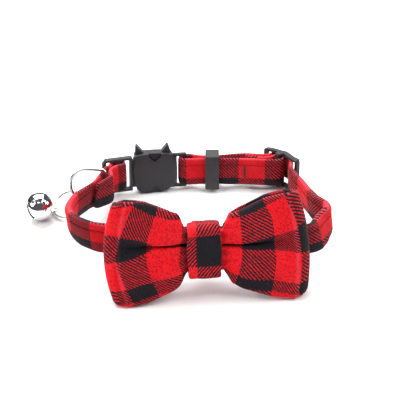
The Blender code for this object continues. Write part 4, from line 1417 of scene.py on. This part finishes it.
    def _on_ring(self, ring: RingRows, a: float) -> tuple[float, float, Vector]:
        """A place on an upright loop.

        Args:
            ring: the loop's rows.
            a: the share of the way round.

        Returns:
            Depth, height and the direction of travel there.
        """
        steps = len(ring) - 1
        step = int(round(a * steps)) % steps
        y, z, _ = ring[step]
        y0, z0, _ = ring[step - 1] if step else ring[steps - 1]
        y1, z1, _ = ring[step + 1]
        return y, z, Vector((y1 - y0, z1 - z0)).normalized()

    def build_knot(self, cloth: bpy.types.Material) -> bpy.types.Object:
        """The strip of cloth pulled round the bow's middle, soft at its edges.

        Args:
            cloth: the flannel.

        Returns:
            The knot's object.
        """
        steps = 150
        half_depth = self.knot_depth / 2 - self.knot_wall / 2
        half_height = self.knot_height / 2 - self.knot_wall / 2
        ring = self._ring(half_depth, half_height, self.knot_corner, steps)
        outer = (0.25, 0.5, 0.7, 0.84, 0.92, 0.97, 0.995)
        inner = (0.995, 0.97, 0.9, 0.6, 0.2)
        across = [(-1.0, 0.0), *((-t, 1.0) for t in reversed(outer)), (0.0, 1.0), *((t, 1.0) for t in outer)]
        across += [(1.0, 0.0), *((t, -1.0) for t in inner), *((-t, -1.0) for t in reversed(inner))]
        count = len(across)
        length = ring[-1][2]

        def place(a: float, b: float) -> Vector:
            """The knot's skin for shares round the loop and round the wall.

            Args:
                a: the share round the loop.
                b: the share round the wall.

            Returns:
                The upright millimetre point.
            """
            y, z, ahead = self._on_ring(ring, a)
            out = Vector((ahead.y, -ahead.x))
            t, face = across[int(round(b * count)) % count]
            front = y < 0
            swell = 1 + 0.035 * math.cos(z * 0.5) * (1 if t > 0 else 1.3)
            x = t * self.knot_width / 2 * swell
            rim = min((1 - abs(t)) * self.knot_width / 2 / 0.65, 1.0)
            wall = self.knot_wall / 2 * math.sqrt(max(1 - (1 - rim) ** 2, 0.0)) * face
            belly = 0.35 * (1 - t * t) if face > 0 else 0.0
            crease = hump(t, -0.43, 0.07, 0.22) if face > 0 and front else 0.0
            soft = 0.18 * noise.noise(Vector((x / 3.2, z / 4.0, 5.0))) if face > 0 else 0.0
            reach = wall + belly - crease + soft
            rise = 0.05 * x if abs(z) > self.knot_height * 0.3 and z > 0 else 0.0
            return self.point(x, y + out.x * reach, z + out.y * reach + rise)

        def pattern(a: float, b: float) -> tuple[float, float]:
            """The plaid for the same shares.

            Args:
                a: the share along or round the loop.
                b: the share round the section.

            Returns:
                Column and row on the weave map.
            """
            step = int(round(a * steps))
            t = across[int(round(b * count)) % count][0]
            run = ring[step][2] - length / 2
            left, top, row_height = self.knot_plaid
            return 1.0 + (t * self.knot_width / 2 + left) / self.square, 1.0 - (run - top) / row_height

        def paint_light(a: float, b: float) -> float:
            """The knot's two folded sides get painted highlight."""
            return 0.5 if abs(across[int(round(b * count)) % count][0]) > 0.96 else 0.0

        bm = weave_grid(steps, count, place, pattern, paint_light)
        piece = finished(bm, "bow_cloth_knot", cloth)
        stand_in(piece, "plaid_flannel_knot", "bow_knot")
        return piece

    def build_elastic(self, webbing: bpy.types.Material) -> bpy.types.Object:
        """The elastic loop that carries the bow on the strap.

        Args:
            webbing: the elastic's finish.

        Returns:
            The loop's object.
        """
        steps = 90
        half_height = Strap.half_height + self.elastic_gap + self.elastic_wall / 2
        ring = self._ring(self.elastic_half_room, half_height, self.elastic_corner, steps)
        shares = (-0.96, -0.8, -0.4, 0.0, 0.4, 0.8, 0.96)
        across = [(-1.0, 1.0), *((t, 1.0) for t in shares), (1.0, 1.0), *((-t, -1.0) for t in shares)]
        count = len(across)

        def place(a: float, b: float) -> Vector:
            """The elastic's skin for shares round the loop and round the wall.

            Args:
                a: the share round the loop.
                b: the share round the wall.

            Returns:
                The upright millimetre point.
            """
            y, z, ahead = self._on_ring(ring, a)
            t, face = across[int(round(b * count)) % count]
            rim = min((1 - abs(t)) * self.elastic_width / 2 / 0.3, 1.0)
            reach = self.elastic_wall / 2 * face * math.sqrt(max(1 - (1 - rim) ** 2, 0.0))
            py = self.strap_line + y + ahead.y * reach
            return STANCE.on_strap(BOW_PLACE[0] + t * self.elastic_width / 2, py, z - ahead.x * reach)

        def pattern(a: float, b: float) -> tuple[float, float]:
            """Ribs along and picks across, in millimetres."""
            t = across[int(round(b * count)) % count][0]
            return ring[int(round(a * steps))][2] * 0.1, t * 0.5

        bm = weave_grid(steps, count, place, pattern, lambda a, b: 0.0)
        piece = finished(bm, "elastic_loop", webbing)
        stand_in(piece, "black_elastic", "bow_elastic")
        return piece


# plated pieces


@dataclass
class BellSet:
    """The D-ring, the jump ring and the round bell with its pellet."""

    d_wire: float = 0.6
    d_depth: float = 13.4
    d_half: float = 6.5
    d_corner: float = 1.3
    d_yaw: float = 7.7
    ring_radius: float = 5.98
    ring_wire: float = 0.45
    bell_radius: float = 5.2
    bell_wall: float = 0.7
    slot_half: float = 0.5
    slot_reach: float = 70.0
    hole_radius: float = 0.78
    # the rolled waist: its rise over the ball and the groove beside it, as level, width, millimetres
    waist_roll: tuple[float, float, float] = (0.0, 0.05, 0.05)
    waist_groove: tuple[float, float, float] = (0.09, 0.03, 0.04)
    sharp_edge: float = 32.0
    eye_radius: float = 1.25
    eye_wire: float = 0.4
    bell_place: tuple[float, float, float] = (-57.9, -11.9, 5.2)
    ring_place: tuple[float, float, float] = (-48.0, -7.81, 3.5)
    ring_axis: tuple[float, float, float] = (-0.243, -0.285, 0.927)
    slot_toward: tuple[float, float, float] = (-0.28, -0.85, -0.44)

    def __post_init__(self) -> None:
        """Finds the bell's centre, its eye and its axis."""
        shift = Vector(STANCE.shift)
        self.centre = Vector(self.bell_place) + shift
        self.ring_centre = Vector(self.ring_place) + shift
        self.normal = Vector(self.ring_axis).normalized()
        across = self.centre - self.ring_centre
        across -= self.normal * across.dot(self.normal)
        self.eye = self.ring_centre + across.normalized() * self.ring_radius
        self.tangent = self.normal.cross(across).normalized()
        self.axis = (self.centre - self.eye).normalized()

    def build_d_ring(self, plate: bpy.types.Material) -> bpy.types.Object:
        """The welded D-ring in its sewn loop of strap.

        Args:
            plate: the plate's finish.

        Returns:
            The D-ring's object.
        """
        reach = self.d_half
        corner = self.d_corner
        bends = np.linspace(0.25, 1.32, 5)
        bend = [(corner * (1 - math.cos(a)), corner * math.sin(a)) for a in bends]
        flat = [(0.0, w) for w in np.linspace(-reach + corner, reach - corner, 12)]
        flat += [(u, reach - corner + w) for u, w in bend]
        flat += [(u, reach) for u in np.linspace(corner, self.d_depth - reach, 10)]
        arc = np.linspace(0.06, math.pi - 0.06, 44)
        flat += [(self.d_depth - reach + reach * math.sin(a), reach * math.cos(a)) for a in arc]
        flat += [(u, -reach) for u in np.linspace(self.d_depth - reach, corner, 10)]
        flat += [(u, -reach + corner - w) for u, w in reversed(bend)]
        frame = Plan(*D_PLACE, 180.0 - self.d_yaw)
        across = frame.point(0.0, 1.0, 0.0) - frame.point(0.0, 0.0, 0.0)
        bm = bmesh.new()
        wire(bm, [frame.point(u, 0.0, w) for u, w in flat], self.d_wire, 20, across)
        piece = finished(bm, "welded_d_ring", plate, False)
        stand_in(piece, "plated_steel", "d_ring")
        return piece

    def _circle(self, centre: Vector, normal: Vector, radius: float, count: int) -> list[Vector]:
        """Points round a circle.

        Args:
            centre: its middle.
            normal: the direction it faces.
            radius: its radius.
            count: how many points.

        Returns:
            The points.
        """
        a = normal.orthogonal().normalized()
        b = normal.cross(a)
        turns = [2 * math.pi * k / count for k in range(count)]
        return [centre + a * (radius * math.cos(t)) + b * (radius * math.sin(t)) for t in turns]

    def build_ring(self, plate: bpy.types.Material) -> bpy.types.Object:
        """The jump ring between the D-ring and the bell.

        Args:
            plate: the plate's finish.

        Returns:
            The ring's object.
        """
        bm = bmesh.new()
        path = self._circle(self.ring_centre, self.normal, self.ring_radius, 96)
        wire(bm, path, self.ring_wire, 16, self.normal)
        piece = finished(bm, "jump_ring", plate, False)
        stand_in(piece, "plated_steel", "bell_ring")
        return piece

    def _cutters(self) -> list[bpy.types.Object]:
        """Solids that cut the cross of slots and their round ends.

        Returns:
            Two bars and four pegs.
        """
        made = []
        first = Vector(self.slot_toward)
        first = (first - self.axis * first.dot(self.axis)).normalized()
        radius = self.bell_radius
        for along in (first, self.axis.cross(first)):
            over = self.axis.cross(along)
            floor = radius * math.cos(math.radians(self.slot_reach))
            turn = Matrix((along, over, self.axis)).transposed().to_4x4()
            bm = bmesh.new()
            bmesh.ops.create_cube(bm, size=1.0)
            tall = radius + 1 - floor
            size = Matrix.Diagonal((2 * radius, 2 * self.slot_half, tall, 1.0))
            place = Matrix.Translation(self.centre + self.axis * (floor + tall / 2)) @ turn @ size
            bmesh.ops.transform(bm, matrix=place, verts=bm.verts[:])
            made.append(self._helper(bm))
            for sign in (-1, 1):
                angle = math.radians(self.slot_reach)
                out = along * (sign * math.sin(angle)) + self.axis * math.cos(angle)
                bm = bmesh.new()
                wide = self.hole_radius
                bmesh.ops.create_cone(
                    bm, cap_ends=True, segments=28, radius1=wide, radius2=wide, depth=radius * 0.7
                )
                aim = out.to_track_quat("Z", "Y").to_matrix().to_4x4()
                place = Matrix.Translation(self.centre + out * radius * 0.95) @ aim
                bmesh.ops.transform(bm, matrix=place, verts=bm.verts[:])
                made.append(self._helper(bm))
        return made

    def _helper(self, bm: bmesh.types.BMesh) -> bpy.types.Object:
        """A passing object for joining and cutting.

        Args:
            bm: its mesh, in millimetres.

        Returns:
            The object.
        """
        mesh = bpy.data.meshes.new("helper")
        bm.to_mesh(mesh)
        bm.free()
        helper = bpy.data.objects.new("helper", mesh)
        bpy.context.scene.collection.objects.link(helper)
        return helper

    def _ball(self, radius: float, rows: int, columns: int) -> bmesh.types.BMesh:
        """A round ball about the bell's centre, poles on its axis.

        Args:
            radius: its radius.
            rows: faces from pole to pole.
            columns: faces round it.

        Returns:
            The ball's mesh.
        """
        bm = bmesh.new()
        bmesh.ops.create_uvsphere(bm, u_segments=columns, v_segments=rows, radius=radius)
        aim = self.axis.to_track_quat("Z", "Y").to_matrix().to_4x4()
        bmesh.ops.transform(bm, matrix=Matrix.Translation(self.centre) @ aim, verts=bm.verts[:])
        return bm

    def build_bell(self, plate: bpy.types.Material) -> bpy.types.Object:
        """The bell's shell with its rolled waist, eye and slots.

        Args:
            plate: the plate's finish.

        Returns:
            The bell's object.
        """
        shell = self._ball(self.bell_radius, 72, 120)
        for vert in shell.verts:
            out = vert.co - self.centre
            level = out.normalized().dot(self.axis)
            waist = hump(level, *self.waist_roll) - hump(level, *self.waist_groove)
            vert.co = self.centre + out * (1 + waist / self.bell_radius)
        body = self._helper(shell)
        hollow = self._helper(self._ball(self.bell_radius - self.bell_wall, 36, 60))
        loop = bmesh.new()
        path = self._circle(self.eye, self.tangent, self.eye_radius, 40)
        wire(loop, path, self.eye_wire, 14, self.tangent)
        eyelet = self._helper(loop)
        helpers = [(eyelet, "UNION"), (hollow, "DIFFERENCE")] + [(c, "DIFFERENCE") for c in self._cutters()]
        for helper, operation in helpers:
            step = body.modifiers.new("join", "BOOLEAN")
            step.solver = "EXACT"
            step.operation = operation
            step.object = helper
        bpy.context.view_layer.update()
        bm = bmesh.new()
        bm.from_object(body, bpy.context.evaluated_depsgraph_get())
        for helper in [h for h, _ in helpers] + [body]:
            bpy.data.objects.remove(helper, do_unlink=True)
        bmesh.ops.remove_doubles(bm, verts=bm.verts[:], dist=0.0008)
        bmesh.ops.dissolve_degenerate(bm, edges=bm.edges[:], dist=0.0005)
        for face in bm.faces:
            face.smooth = True
        for edge in bm.edges:
            if len(edge.link_faces) == 2 and edge.calc_face_angle(0.0) > math.radians(self.sharp_edge):
                edge.smooth = False
        piece = finished(bm, "round_bell", plate, False)
        stand_in(piece, "bell_chrome", "bell")
        return piece


# studio


@dataclass(frozen=True)
class Softbox:
    """One soft light: where it hangs, how large it is and how strong."""

    name: str
    toward: tuple[float, float, float]
    distance: float
    size: tuple[float, float]
    power: float


@dataclass(frozen=True)
class Studio:
    """The pale table, the soft lights and the camera."""

    pitch: float = 34.0
    lens: float = 80.06
    eye: tuple[float, float, float] = (0.00889, -0.25485, 0.18705)
    world: tuple[float, float, float] = (0.11, 0.11, 0.115)
    world_strength: float = 1.0
    table_half: float = 1500.0
    boxes: tuple[Softbox, ...] = (
        Softbox("top_box", (-0.17, 0.53, 0.83), 0.75, (0.72, 0.62), 10.8),
        Softbox("left_box", (-0.755, -0.243, 0.609), 0.75, (0.46, 0.5), 3.6),
        Softbox("right_box", (0.592, -0.171, 0.786), 0.75, (0.46, 0.5), 4.2),
    )

    def build(self) -> None:
        """Sets the table, the lights, the backdrop's light and the camera."""
        scene = bpy.context.scene
        scene.view_settings.view_transform = "Standard"
        bm = bmesh.new()
        bmesh.ops.create_grid(bm, x_segments=4, y_segments=4, size=self.table_half)
        table = finished(bm, "pale_table", PaleTable("white_table").build(), False)
        for box in self.boxes:
            lamp = bpy.data.lights.new(box.name, "AREA")
            lamp.shape = "RECTANGLE"
            lamp.size, lamp.size_y = box.size
            lamp.energy = box.power
            hung = bpy.data.objects.new(box.name, lamp)
            away = Vector(box.toward).normalized()
            hung.location = away * box.distance
            hung.rotation_euler = away.to_track_quat("Z", "Y").to_euler()
            scene.collection.objects.link(hung)
        world = bpy.data.worlds.new("studio_air")
        world.use_nodes = True
        air = world.node_tree.nodes["Background"]
        air.inputs["Color"].default_value = (*self.world, 1.0)
        air.inputs["Strength"].default_value = self.world_strength
        scene.world = world
        camera = bpy.data.cameras.new("photo_camera")
        camera.lens = self.lens
        camera.sensor_width = 36.0
        camera.clip_start = 0.01
        eye = bpy.data.objects.new("photo_camera", camera)
        eye.location = self.eye
        eye.rotation_euler = (math.radians(90.0 - self.pitch), 0.0, 0.0)
        scene.collection.objects.link(eye)
        scene.camera = eye


def dress(nodes: dict[str, bpy.types.Object], names: Sequence[str], finish: bpy.types.Material) -> None:
    """Gives frame nodes that stay as they are their own finish.

    Args:
        nodes: the frame's objects by name.
        names: the nodes to dress.
        finish: their material.
    """
    for name in names:
        node = nodes[name]
        if not node.material_slots:
            node.data.materials.append(finish)
        for slot in node.material_slots:
            slot.material = finish
        LOG.info("%s: kept, new finish", name)


def main() -> None:
    """Builds every piece of the collar and the studio round it."""
    logging.basicConfig(level=logging.INFO, format="%(name)s %(message)s")
    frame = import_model()
    Studio().build()
    # the strap's copy of the flannel has a darker red: painted shade, so the strap lies darker than the bow
    shaded_strap_cloth = PlaidFlannel("strap_flannel", red=(0.52, 0.007, 0.013), nap_red=(0.66, 0.04, 0.055)).build()
    bow_cloth = PlaidFlannel("bow_flannel").build()
    knot_cloth = PlaidFlannel("knot_flannel", slant=Slant.UP_RIGHT).build()
    plastic = MouldedPlastic("matte_plastic").build()
    plate = PlatedMetal("ring_plate").build()
    bell_plate = PlatedMetal(
        "bell_plate", colour=(0.8, 0.8, 0.815), dull=(0.62, 0.62, 0.64), roughness=(0.04, 0.1)
    ).build()
    strap = Strap()
    strap.build(shaded_strap_cloth)
    strap.build_tack(SewingThread("tack_thread").build())
    bow = BowTie()
    bow.build_wings(bow_cloth)
    bow.build_knot(knot_cloth)
    bow.build_elastic(WovenElastic("ribbed_elastic").build())
    bells = BellSet()
    bells.build_d_ring(plate)
    bells.build_ring(plate)
    bells.build_bell(bell_plate)
    dress(frame["nodes"], ("cat_head_buckle",), HeadPlastic("head_plastic").build())
    dress(frame["nodes"], ("buckle_insert", "strap_keeper", "slider"), plastic)
    dress(frame["nodes"], ("bell_pellet",), plate)


if __name__ == "__main__":
    main()
